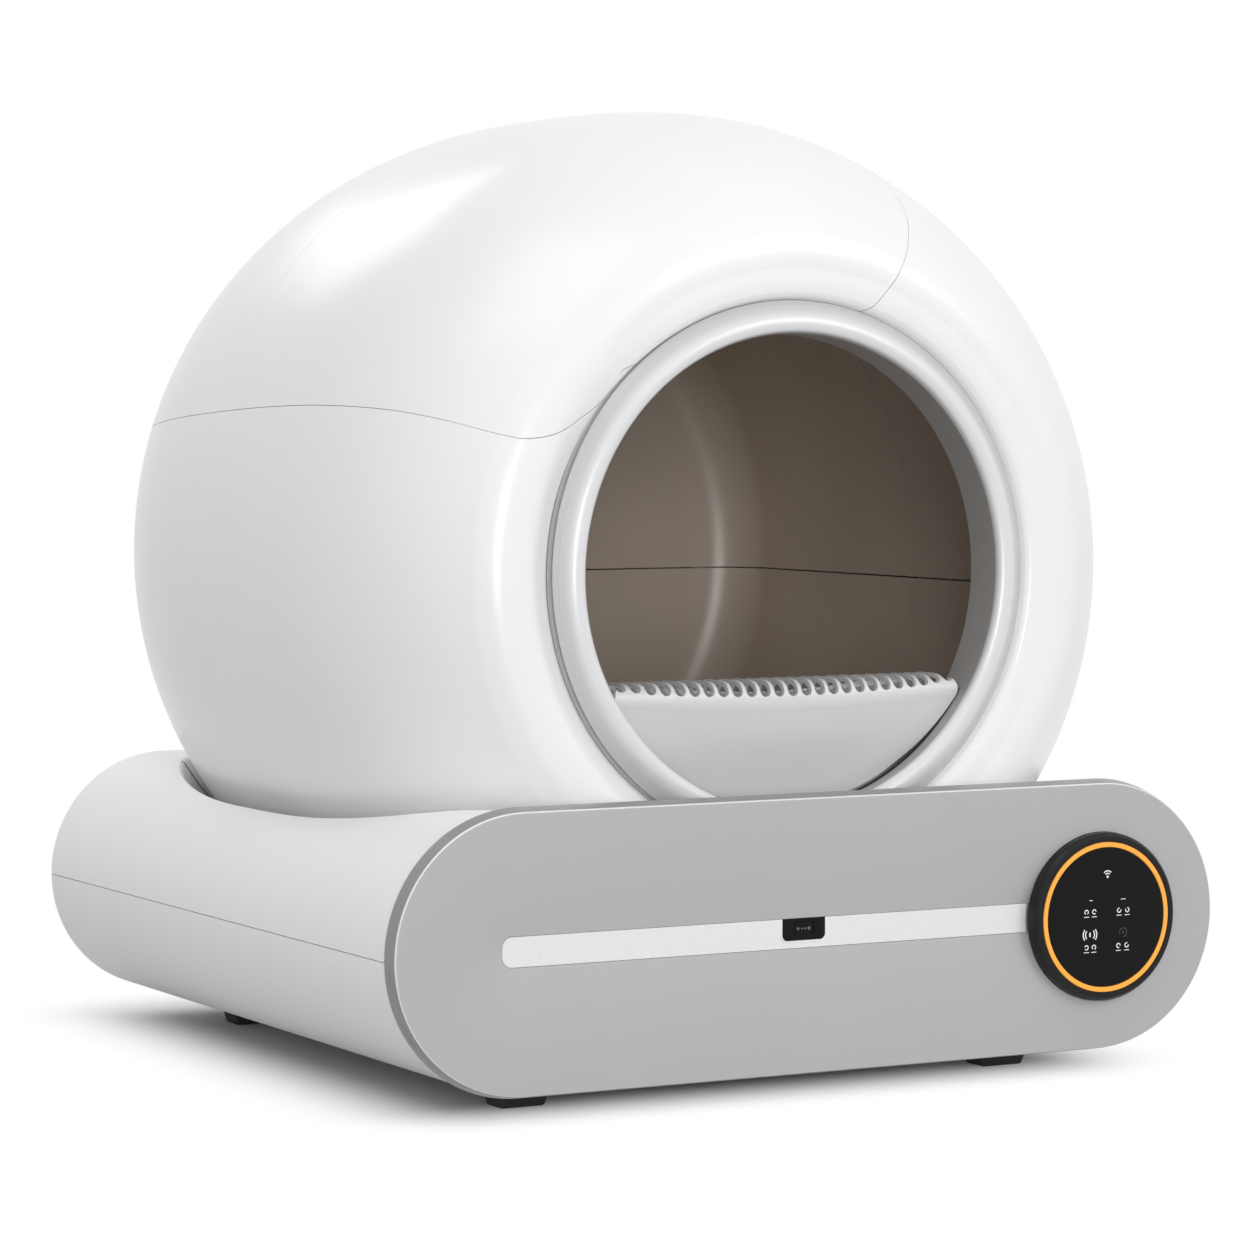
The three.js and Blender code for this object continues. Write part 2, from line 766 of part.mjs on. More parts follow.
function sensorWindow() {
  return inlay(windowShape(0), inlayDepth).subtract(lensBlock(seatGap, lensDepth + seatGap));
}

// Control disc
function discRod(radius, fromDepth, toDepth, sides) {
  return rodAlongY(radius, discOffset, riseAt(discRise), depthAt(fromDepth), depthAt(toDepth), sides);
}

function controlDisc() {
  const face = discRod(discRadius, -discProud, -seatGap, fineSides);
  const boss = discRod(discBossRadius, -discProud / 2, discBossEnd, plainSides);
  const pocket = discRod(discPocketRadius, -discProud - cutOverrun, -discProud + discPocketDepth, fineSides);
  return face.add(boss).subtract(pocket);
}

function controlGlass() {
  return discRod(glassRadius, -discProud, -discProud + discPocketDepth - seatGap, fineSides);
}

function lightRing() {
  const [front, back] = [-discProud, -discProud + discPocketDepth - seatGap];
  return cut(discRod(lightRingOuter, front, back, fineSides),
    discRod(lightRingInner, front - cutOverrun, back + cutOverrun, fineSides));
}

function displayBoard() {
  const front = depthAt(discBossEnd + seatGap);
  const [halfWidth, halfHeight] = [displayBoardWidth / 2, displayBoardHeight / 2];
  return block(discOffset - halfWidth, discOffset + halfWidth, front, front + boardThickness,
    riseAt(discRise - halfHeight), riseAt(discRise + halfHeight));
}

function mainBoard() {
  const bottom = riseAt(-floorDrop + mainBoardPostHeight + seatGap);
  return block(-mainBoardOffset - mainBoardWidth / 2, -mainBoardOffset + mainBoardWidth / 2,
    depthAt(mainBoardDepthPlace), depthAt(mainBoardDepthPlace + mainBoardDepth),
    bottom, bottom + boardThickness);
}

// Feet and load cells
function rectangle(x, y, width, depth, z) {
  const [w, d] = [width / 2, depth / 2];
  return [[x - w, y - d, z], [x + w, y - d, z], [x + w, y + d, z], [x - w, y + d, z]];
}

function foot(side, depth) {
  const x = side * footOffset;
  const top = riseAt(-panelHeight / 2 - seatGap);
  return loft([
    rectangle(x, depthAt(depth), footBottomWidth, footBottomDepth, 0),
    rectangle(x, depthAt(depth), footTopWidth, footTopDepth, top),
  ]);
}

function loadCell(side, depth) {
  const x = side * loadCellOffset;
  const bottom = riseAt(-floorDrop + seatGap);
  return block(x - loadCellWidth / 2, x + loadCellWidth / 2, depthAt(depth - loadCellLength / 2),
    depthAt(depth + loadCellLength / 2), bottom, bottom + loadCellHeight);
}

// Drum: its shoulders, in front as shares of the width of its face, behind of its radius
const drumFrontShares = [
  [0.930, 0.55],
  [0.747, 0.2],
  [0.299, 0],
];
const drumRearShares = [
  [0.975, 0.55],
  [0.91, 0.2],
  [0.75, 0],
];

function drumFrontProfile() {
  const hole = mouthRadius + throatWall + seatGap;
  const shoulder = drumFrontShares.map(([across, along]) =>
    [THREE.MathUtils.lerp(hole, drumRadius, across), drumFrontDepth + drumFrontShoulderLength * along]);
  return [
    [drumRadius, drumSeamDepth],
    [drumRadius, drumFrontDepth + drumFrontShoulderLength],
    ...shoulder,
    [hole, drumFrontDepth],
  ];
}

function drumRearProfile() {
  const shoulder = drumRearShares.map(([across, along]) =>
    [drumRadius * across, drumRearDepth - drumRearShoulderLength * along]);
  return [
    [drumRadius, drumSeamDepth],
    [drumRadius, drumRearDepth - drumRearShoulderLength],
    ...shoulder,
    [0, drumRearDepth],
  ];
}

function drumShells() {
  const frontSkin = drumFrontProfile();
  const frontInside = offsetProfile(frontSkin, -drumWall);
  frontInside[0] = [drumRadius - drumWall, drumSeamDepth];
  frontInside[frontInside.length - 1] = [frontSkin[frontSkin.length - 1][0], drumFrontDepth + drumWall];
  const rearSkin = drumRearProfile();
  const rearInside = offsetProfile(rearSkin, drumWall);
  rearInside[0] = [drumRadius - drumWall, drumSeamDepth];
  rearInside[rearInside.length - 1] = [0, drumRearDepth - drumWall];
  const front = ring([...frontSkin, ...frontInside.reverse()], drumSegments);
  const rear = ring([...rearSkin, ...rearInside.reverse()], drumSegments);
  const reach = drumRadius + cutOverrun;
  const seamZ = axisZ - drumSeamDrop;
  const [y0, y1] = [depthAt(drumFrontDepth - cutOverrun), depthAt(drumRearDepth + cutOverrun)];
  const upperSpace = block(-reach, reach, y0, y1, seamZ + seatGap / 2, axisZ + reach);
  const lowerSpace = block(-reach, reach, y0, y1, axisZ - reach, seamZ - seatGap / 2);
  const ringSlot = block(-reach, reach, depthAt(drumSeamDepth - seatGap / 2),
    depthAt(drumSeamDepth + seatGap / 2), axisZ - reach, axisZ + reach);
  return {
    frontUpper: front.intersect(upperSpace).subtract(ringSlot),
    frontLower: front.intersect(lowerSpace).subtract(ringSlot),
    rearUpper: cut(rear.intersect(upperSpace), ringSlot, wastePort()),
    rearLower: rear.intersect(lowerSpace).subtract(ringSlot),
  };
}

function aroundAxis(geometry, angle) {
  geometry.rotateY(-angle * degree);
  geometry.translate(0, 0, axisZ);
  return solidOf(geometry);
}

function wastePort() {
  const length = drumRadius + cutOverrun - sieveInnerRadius;
  const geometry = new THREE.BoxGeometry(length, portRearDepth - portFrontDepth, portWidth);
  geometry.translate(sieveInnerRadius + length / 2, depthAt((portFrontDepth + portRearDepth) / 2), 0);
  return aroundAxis(geometry, portAngle);
}

// Mouth ring, as shares of its width and of its bulge
const ringFaceShares = [
  [0.04, 0.5],
  [0.24, 0.08],
  [0.5, 0],
  [0.82, 0.3],
];

function mouthRing() {
  const [width, bulge] = [mouthRingWidth, mouthRingBulge];
  const face = ringFaceShares.map(([across, along]) =>
    [mouthRadius + width * across, mouthRingFrontDepth + bulge * along]);
  return ring([
    [mouthRadius, mouthRingEdgeDepth],
    ...face,
    [mouthRingRadius, mouthRingEdgeDepth],
    [mouthRingRadius, mouthFlangeDepth - bulge],
    [mouthRingRadius - bulge, mouthFlangeDepth],
    [mouthRadius + throatWall, mouthFlangeDepth],
    [mouthRadius + throatWall, throatEndDepth],
    [mouthRadius, throatEndDepth],
  ], drumSegments);
}

// Slotted lip: its skin as shares of its depth and height, from the bottom over the top to the back
const lipSkinShares = [
  [0.3, 0],
  [0.24, 0.3],
  [0.1, 0.66],
  [0, 0.84],
  [0.14, 0.95],
  [0.45, 1],
  [0.8, 1],
  [1, 0.9],
];

function slottedLip() {
  const length = lipBackDepth - lipFrontDepth;
  const bottom = axisZ - lipTopDrop - lipHeight;
  const skin = lipSkinShares.map(([along, up]) =>
    [depthAt(lipFrontDepth + length * along), bottom + lipHeight * up]);
  const back = offsetProfile(skin, -lipWall).reverse();
  const sheet = prismAlongX(polygon([...skin, ...back]), -lipHalfWidth, lipHalfWidth);
  const mouth = rodAlongY(mouthRadius - seatGap, 0, axisZ, depthAt(0), depthAt(drumRearDepth), drumSegments);
  const top = axisZ - lipTopDrop;
  const slots = [];
  for (let i = 0; i < slotCount; i += 1) {
    const x = (i - (slotCount - 1) / 2) * slotPitch;
    slots.push(block(x - slotWidth / 2, x + slotWidth / 2, depthAt(slotFrontDepth), depthAt(slotBackDepth),
      top - slotDepth, top + slotDepth));
  }
  return cut(sheet.intersect(mouth), ...slots);
}

function sieveGrille() {
  const [y0, y1] = [depthAt(sieveFrontDepth), depthAt(sieveRearDepth)];
  const [edge, wall] = [sieveInnerRadius, sieveOuterRadius];
  const shape = polygon([[edge, y0], [wall, y0], [wall, y1], [edge, y1]]);
  const pitch = (y1 - y0 - 2 * sieveBorder + sieveBar) / sieveSlotCount;
  for (let i = 0; i < sieveSlotCount; i += 1) {
    const start = y0 + sieveBorder + i * pitch;
    const end = start + pitch - sieveBar;
    const [inner, outer] = [sieveInnerRadius + sieveBorder, sieveOuterRadius - sieveBorder];
    const slot = [[inner, start], [inner, end], [outer, end], [outer, start]];
    shape.holes.push(new THREE.Path(slot.map(([u, v]) => new THREE.Vector2(u, v))));
  }
  const geometry = new THREE.ExtrudeGeometry(shape, { depth: sieveThickness, bevelEnabled: false });
  geometry.translate(0, 0, -sieveThickness / 2);
  return aroundAxis(geometry, sieveAngle);
}

// Gears: straight-sided teeth, drawn in the plane across the axis
function gearShape(teeth, pitchRadius, phase) {
  const pitchAngle = 2 * Math.PI / teeth;
  const half = pitchAngle * gearBacklashShare / 2;
  const [root, tip] = [pitchRadius - toothDedendum, pitchRadius + toothAddendum];
  const points = [];
  for (let tooth = 0; tooth < teeth; tooth += 1) {
    const centre = phase + tooth * pitchAngle;
    const flank = [[root, toothRootShare], [tip, toothTipShare]];
    const corners = [...flank.map(([radius, share]) => [radius, -share]), ...flank.reverse()];
    for (const [radius, share] of corners) {
      const angle = centre + share * half;
      points.push([radius * Math.cos(angle), radius * Math.sin(angle)]);
    }
  }
  return polygon(points);
}

function pinionCentre() {
  const pitch = gearPitchRadius * pinionTeeth / gearTeeth;
  const distance = gearPitchRadius + pitch + gearMeshClearance;
  const angle = pinionDriveAngle * degree;
  return { pitch, x: distance * Math.cos(angle), z: axisZ + distance * Math.sin(angle) };
}

function ringGear() {
  const body = prismAlongY(gearShape(gearTeeth, gearPitchRadius, pinionDriveAngle * degree),
    depthAt(gearFrontDepth), depthAt(gearRearDepth)).translate([0, 0, axisZ]);
  const bore = rodAlongY(drumRadius + seatGap, 0, axisZ, depthAt(gearFrontDepth - cutOverrun),
    depthAt(gearRearDepth + cutOverrun), drumSegments);
  return body.subtract(bore);
}

function drivePinion() {
  const { pitch, x, z } = pinionCentre();
  const phase = pinionDriveAngle * degree + Math.PI + Math.PI / pinionTeeth;
  const body = prismAlongY(gearShape(pinionTeeth, pitch, phase), depthAt(gearFrontDepth),
    depthAt(gearRearDepth)).translate([x, 0, z]);
  const bore = rodAlongY(shaftRadius + seatGap, x, z, depthAt(gearFrontDepth - cutOverrun),
    depthAt(gearRearDepth + cutOverrun), plainSides);
  return body.subtract(bore);
}

function motorShaft() {
  const { x, z } = pinionCentre();
  return rodAlongY(shaftRadius, x, z, depthAt(motorRearDepth - shaftInset + seatGap),
    depthAt(gearRearDepth + shaftOverhang), plainSides);
}

function gearMotor() {
  const { x, z } = pinionCentre();
  const body = rodAlongY(motorRadius, x, z, depthAt(motorFrontDepth), depthAt(motorRearDepth), plainSides);
  const bore = rodAlongY(shaftRadius + seatGap, x, z, depthAt(motorRearDepth - shaftInset),
    depthAt(motorRearDepth + cutOverrun), plainSides);
  return body.subtract(bore);
}

function motorMount() {
  const { x, z } = pinionCentre();
  const body = block(x - motorMountWidth / 2, x + motorMountWidth / 2, depthAt(motorMountFrontDepth),
    depthAt(motorMountRearDepth), riseAt(-floorDrop + seatGap), z - motorMountTopDrop);
  const saddle = rodAlongY(motorRadius + seatGap, x, z, depthAt(motorFrontDepth), depthAt(motorRearDepth),
    plainSides);
  return body.subtract(saddle);
}

// Rollers
function rollerZ() {
  return riseAt(rollerRise);
}

function roller(x, depth) {
  const [y0, y1] = [depthAt(depth - rollerWidth / 2), depthAt(depth + rollerWidth / 2)];
  return cut(rodAlongY(rollerRadius, x, rollerZ(), y0, y1, plainSides),
    rodAlongY(rollerBore, x, rollerZ(), y0 - cutOverrun, y1 + cutOverrun, smallSides));
}

function axleReach() {
  return rollerWidth / 2 + seatGap + bracketCheek;
}

function rollerAxle(x, depth) {
  return rodAlongY(axleRadius, x, rollerZ(), depthAt(depth - axleReach()), depthAt(depth + axleReach()),
    smallSides);
}

function rollerBracket(x, depth) {
  const bottom = riseAt(-deckTopDrop + seatGap);
  const [y0, y1] = [depthAt(depth - axleReach()), depthAt(depth + axleReach())];
  const top = rollerZ() + bracketTopMargin;
  const body = block(x - bracketWidth / 2, x + bracketWidth / 2, y0, y1, bottom, top);
  const space = block(x - bracketWidth, x + bracketWidth, y0 + bracketCheek, y1 - bracketCheek,
    bottom + bracketBase, rollerZ() + cutOverrun);
  const bore = rodAlongY(rollerBore, x, rollerZ(), y0 - cutOverrun, y1 + cutOverrun, smallSides);
  return cut(body, space, bore);
}

// Inner deck: a plate over the drawer with a chute, a front web and two skirts on the base's floor
function innerDeck() {
  const top = riseAt(-deckTopDrop);
  const under = top - deckThickness;
  const floor = riseAt(-floorDrop + seatGap);
  const inner = bayHalfWidth;
  const [y0, y1] = [depthAt(deckFrontDepth), depthAt(deckRearDepth)];
  const plate = block(-deckHalfWidth, deckHalfWidth, y0, y1, under, top);
  const skirts = [-1, 1].map((side) => {
    const [a, b] = [side * inner, side * (inner + deckSkirtThickness)];
    return block(Math.min(a, b), Math.max(a, b), y0, y1, floor, top);
  });
  const web = block(-inner, inner, y0, y0 + deckSkirtThickness, floor, top);
  const chute = block(-chuteHalfWidth, chuteHalfWidth, depthAt(portFrontDepth), depthAt(portRearDepth),
    under - cutOverrun, top + cutOverrun);
  return joined([plate, ...skirts, web]).subtract(chute);
}

// Waste drawer
function wasteDrawer() {
  const bottom = riseAt(-floorDrop + seatGap);
  const top = riseAt(-drawerTopDrop);
  const [y0, y1] = [depthAt(drawerFrontDepth), depthAt(drawerRearDepth)];
  const body = block(-drawerHalfWidth, drawerHalfWidth, y0, y1, bottom, top);
  const inner = drawerHalfWidth - drawerWall;
  const space = block(-inner, inner, y0 + drawerWall, y1 - drawerWall, bottom + drawerWall, top + cutOverrun);
  return body.subtract(space);
}

function drawerFront() {
  const bottom = riseAt(-floorDrop + seatGap);
  const top = riseAt(-drawerPanelTopDrop);
  const centre = (bottom + top) / 2;
  const plateFront = depthAt(bodyDepth - shellWall);
  const back = depthAt(drawerRearDepth + seatGap);
  const outside = depthAt(bodyDepth);
  const [w, h] = [gripWidth / 2, gripHeight / 2];
  const plate = block(-drawerHalfWidth, drawerHalfWidth, plateFront, outside, bottom, top);
  const cup = block(-w - gripWall, w + gripWall, back, outside, centre - h - gripWall, centre + h + gripWall);
  const grip = block(-w, w, back + gripWall, outside + cutOverrun, centre - h, centre + h);
  return plate.add(cup).subtract(grip);
}

function powerInlet() {
  const [x, z] = [-inletOffset, riseAt(inletRise)];
  const outside = depthAt(bodyDepth);
  const body = block(x - inletWidth / 2, x + inletWidth / 2, outside - inletLength, outside,
    z - inletHeight / 2, z + inletHeight / 2);
  const socket = block(x - inletSocketWidth / 2, x + inletSocketWidth / 2, outside - inletSocketDepth,
    outside + cutOverrun, z - inletSocketHeight / 2, z + inletSocketHeight / 2);
  return body.subtract(socket);
}

// Materials
function plastic(color, roughness) {
  return new THREE.MeshStandardMaterial({ color, roughness, metalness: 0 });
}

const glossWhite = plastic(0xf4f4f5, 0.25);
const satinWhite = plastic(0xe9e9ea, 0.4);
const ringWhite = plastic(0xe0e0e1, 0.35);
const taupe = plastic(0x6a5f55, 0.45);
const silver = new THREE.MeshStandardMaterial({ color: 0xb8b8bb, roughness: 0.4, metalness: 0.6 });
const pearl = plastic(0xe6e6e8, 0.3);
const black = plastic(0x202022, 0.35);
const glass = plastic(0x101012, 0.08);
const orange = plastic(0xf8a33c, 0.3);
const rubber = plastic(0x2b2b2c, 0.8);
const steel = new THREE.MeshStandardMaterial({ color: 0xa8abb0, roughness: 0.3, metalness: 1 });
const nylon = plastic(0xd8d6cf, 0.5);
const board = plastic(0x1f5a38, 0.6);
const grey = plastic(0x8e9196, 0.6);

// Assembly
function piece(name, solid, material) {
  const mesh = new THREE.Mesh(geometryOf(solid), material);
  mesh.name = name;
  return mesh;
}

function baseGroup() {
  const group = new THREE.Group();
  group.add(
    piece('base_lower_shell', lowerShell(), satinWhite),
    piece('base_upper_shell', upperShell(), satinWhite),
    piece('fascia_panel', fasciaPanel(), silver),
    piece('light_bar', lightBar(), pearl),
    piece('sensor_window', sensorWindow(), black),
    piece('sensor_lens', lensBlock(0, lensDepth), glass),
    piece('control_disc_body', controlDisc(), black),
    piece('control_light_ring', lightRing(), orange),
    piece('control_glass', controlGlass(), glass),
    piece('display_board', displayBoard(), board),
    piece('main_board', mainBoard(), board),
    piece('inner_deck', innerDeck(), grey),
    piece('power_inlet', powerInlet(), black),
  );
  const feet = [['front', frontFootDepth, frontLoadCellDepth], ['rear', rearFootDepth, rearLoadCellDepth]];
  for (const [end, footDepth, cellDepth] of feet) {
    for (const [side, sign] of [['left', -1], ['right', 1]]) {
      group.add(piece(`foot_${end}_${side}`, foot(sign, footDepth), rubber));
      group.add(piece(`load_cell_${end}_${side}`, loadCell(sign, cellDepth), steel));
    }
  }
  screwPlaces().forEach((place, i) => group.add(piece(`case_screw_${i + 1}`, caseScrew(place), steel)));
  return group;
}

function housingGroup() {
  const group = new THREE.Group();
  const { frontShell, rearShell, frontCover, rearCover } = housingPieces();
  group.add(
    piece('housing_front_shell', frontShell, glossWhite),
    piece('housing_rear_shell', rearShell, glossWhite),
    piece('cover_front_shell', frontCover, glossWhite),
    piece('cover_rear_shell', rearCover, glossWhite),
  );
  return group;
}

function driveGroup() {
  const group = new THREE.Group();
  group.add(
    piece('gear_motor', gearMotor(), grey),
    piece('motor_mount', motorMount(), grey),
    piece('motor_shaft', motorShaft(), steel),
    piece('drive_pinion', drivePinion(), nylon),
  );
  for (const [end, depth] of [['front', frontRollerDepth], ['rear', rearRollerDepth]]) {
    for (const [side, x] of [['left', -rollerOffset], ['right', rollerOffset]]) {
      group.add(piece(`roller_${end}_${side}`, roller(x, depth), rubber));
      group.add(piece(`roller_axle_${end}_${side}`, rollerAxle(x, depth), steel));
      group.add(piece(`roller_bracket_${end}_${side}`, rollerBracket(x, depth), grey));
    }
  }
  return group;
}

function drumGroup() {
  const group = new THREE.Group();
  const shells = drumShells();
  group.add(
    piece('drum_front_upper', shells.frontUpper, taupe),
    piece('drum_front_lower', shells.frontLower, taupe),
    piece('drum_rear_upper', shells.rearUpper, taupe),
    piece('drum_rear_lower', shells.rearLower, taupe),
    piece('ring_gear', ringGear(), nylon),
    piece('mouth_ring', mouthRing(), ringWhite),
    piece('slotted_lip', slottedLip(), ringWhite),
    piece('sieve_grille', sieveGrille(), grey),
  );
  return group;
}

function drawerGroup() {
  const group = new THREE.Group();
  group.add(
    piece('waste_drawer', wasteDrawer(), grey),
    piece('drawer_front', drawerFront(), satinWhite),
  );
  return group;
}

const litterBox = new THREE.Group();
litterBox.add(baseGroup(), housingGroup(), driveGroup(), drumGroup(), drawerGroup());

export default litterBox;
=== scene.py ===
"""Looks for the self cleaning litter box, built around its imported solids.

Lengths in the classes are millimetres, as on the maker's drawings. A depth is measured back from
the face of the silver panel, and a rise up from the middle of the base. Meshes are in metres, in
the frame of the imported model.
"""

import sys
import logging
import math
from collections.abc import Callable, Iterable, Sequence
from dataclasses import dataclass
from enum import Enum
from typing import Any

import bmesh
import bpy
from mathutils import Matrix, Vector


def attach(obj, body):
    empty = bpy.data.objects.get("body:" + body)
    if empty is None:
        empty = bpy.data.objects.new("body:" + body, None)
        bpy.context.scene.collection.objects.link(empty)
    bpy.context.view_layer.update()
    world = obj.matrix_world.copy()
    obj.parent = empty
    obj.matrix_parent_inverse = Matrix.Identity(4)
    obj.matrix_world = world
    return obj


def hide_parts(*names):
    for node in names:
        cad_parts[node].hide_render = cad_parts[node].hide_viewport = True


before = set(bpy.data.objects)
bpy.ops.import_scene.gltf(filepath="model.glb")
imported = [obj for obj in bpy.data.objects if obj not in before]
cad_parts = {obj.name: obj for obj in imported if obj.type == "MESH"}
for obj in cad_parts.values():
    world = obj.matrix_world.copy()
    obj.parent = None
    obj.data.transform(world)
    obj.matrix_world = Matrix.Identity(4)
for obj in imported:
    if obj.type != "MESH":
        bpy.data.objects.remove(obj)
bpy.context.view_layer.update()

MM = 0.001
FACE_Y = -256.95
MID_Z = 95.05
AXIS_Z = 301.15
FULL_TURN = 2 * math.pi
DISC_X = 190.6
DISC_RISE = 0.7
BOSS_HOLE = 20.3
SHARP_ANGLE = math.radians(30.0)
SMOOTH_ANGLE = math.radians(32.0)
WHITE = (1.0, 1.0, 1.0, 1.0)

Point2 = tuple[float, float]
Point3 = tuple[float, float, float]
Colour = tuple[float, float, float]

log = logging.getLogger("litter_box")


class Cut(Enum):
    """How one form works on another."""

    JOIN = "UNION"
    TAKE = "DIFFERENCE"
    KEEP = "INTERSECT"


# Drawing helpers ----------------------------------------------------------------------------------


def spot(x: float, depth: float, z: float) -> Vector:
    """A point in metres from a place in millimetres, its depth behind the panel's face."""
    return Vector((x, FACE_Y + depth, z)) * MM


def smoothstep(value: float, low: float, high: float) -> float:
    """Rises from 0 at low to 1 at high with level ends."""
    t = min(1.0, max(0.0, (value - low) / (high - low)))
    return t * t * (3 - 2 * t)


def swung(centre: Point2, radius: float, angle: float) -> Point2:
    """The point at an angle, in radians, on a circle."""
    return centre[0] + radius * math.cos(angle), centre[1] + radius * math.sin(angle)


def eased(points: Sequence[Point2], parts: int) -> list[Point2]:
    """Runs a smooth line through points.

    Args:
        points: places that the line passes.
        parts: how many pieces each span is cut into.

    Returns:
        The points of the line, first and last included.
    """
    line = []
    for i in range(len(points) - 1):
        a, b, c, d = (points[min(max(i + k, 0), len(points) - 1)] for k in (-1, 0, 1, 2))
        for t in (part / parts for part in range(parts)):
            line.append(
                tuple(
                    (
                        2 * b[k]
                        + (c[k] - a[k]) * t
                        + (2 * a[k] - 5 * b[k] + 4 * c[k] - d[k]) * t * t
                        + (3 * b[k] - a[k] - 3 * c[k] + d[k]) * t**3
                    )
                    / 2
                    for k in (0, 1)
                )
            )
    return [*line, tuple(points[-1])]


def offset(line: Sequence[Point2], distance: float) -> list[Point2]:
    """Moves an open line sideways, to its right hand for a positive distance.

    Args:
        line: points as (radius, depth) or (x, z).
        distance: how far, in millimetres.

    Returns:
        The moved line, with as many points.
    """
    moved = []
    for i, (u, v) in enumerate(line):
        before = Vector(line[max(i - 1, 0)])
        after = Vector(line[min(i + 1, len(line) - 1)])
        along = (after - before).normalized()
        moved.append((u + along.y * distance, v - along.x * distance))
    return moved


def between(line: Sequence[Point2], place: float) -> float:
    """Reads a height off a line.

    Args:
        line: points as (place, height), their places rising.
        place: where the height is wanted.

    Returns:
        The height there, carried on straight past either end.
    """
    after = next((i for i, point in enumerate(line) if point[0] >= place), len(line) - 1)
    (u0, v0), (u1, v1) = line[max(after - 1, 0)], line[max(after, 1)]
    return v0 + (v1 - v0) * (place - u0) / (u1 - u0)


def stadium(width: float, height: float, steps: int = 40) -> list[Point2]:
    """Outline of a bar with round ends.

    Args:
        width: over both round ends.
        height: of the bar.
        steps: pieces of each round end.

    Returns:
        The outline's points, centred and anticlockwise.
    """
    arm, points = width / 2 - height / 2, []
    for x, start in ((arm, -90.0), (-arm, 90.0)):
        angles = (math.radians(start + 180 * step / steps) for step in range(steps + 1))
        points += [swung((x, 0.0), height / 2, angle) for angle in angles]
    return points


def rounded(corners: Sequence[tuple[float, float, float]], steps: int = 8) -> list[Point2]:
    """Outline with rounded corners.

    Args:
        corners: (x, z, radius) of each corner, anticlockwise.
        steps: pieces of each rounding.

    Returns:
        The outline's points.
    """
    points = []
    for i, (x, z, radius) in enumerate(corners):
        here = Vector((x, z))
        if radius <= 0:
            points.append((x, z))
            continue
        back = (Vector(corners[i - 1][:2]) - here).normalized()
        onward = (Vector(corners[(i + 1) % len(corners)][:2]) - here).normalized()
        half = back.angle(onward) / 2
        reach = radius / math.tan(half)
        centre = here + (back + onward).normalized() * (radius / math.sin(half))
        start, sweep = here + back * reach - centre, math.pi - 2 * half
        for step in range(steps + 1):
            arm = start.copy()
            arm.rotate(Matrix.Rotation(sweep * step / steps, 2))
            points.append(tuple(centre + arm))
    return points


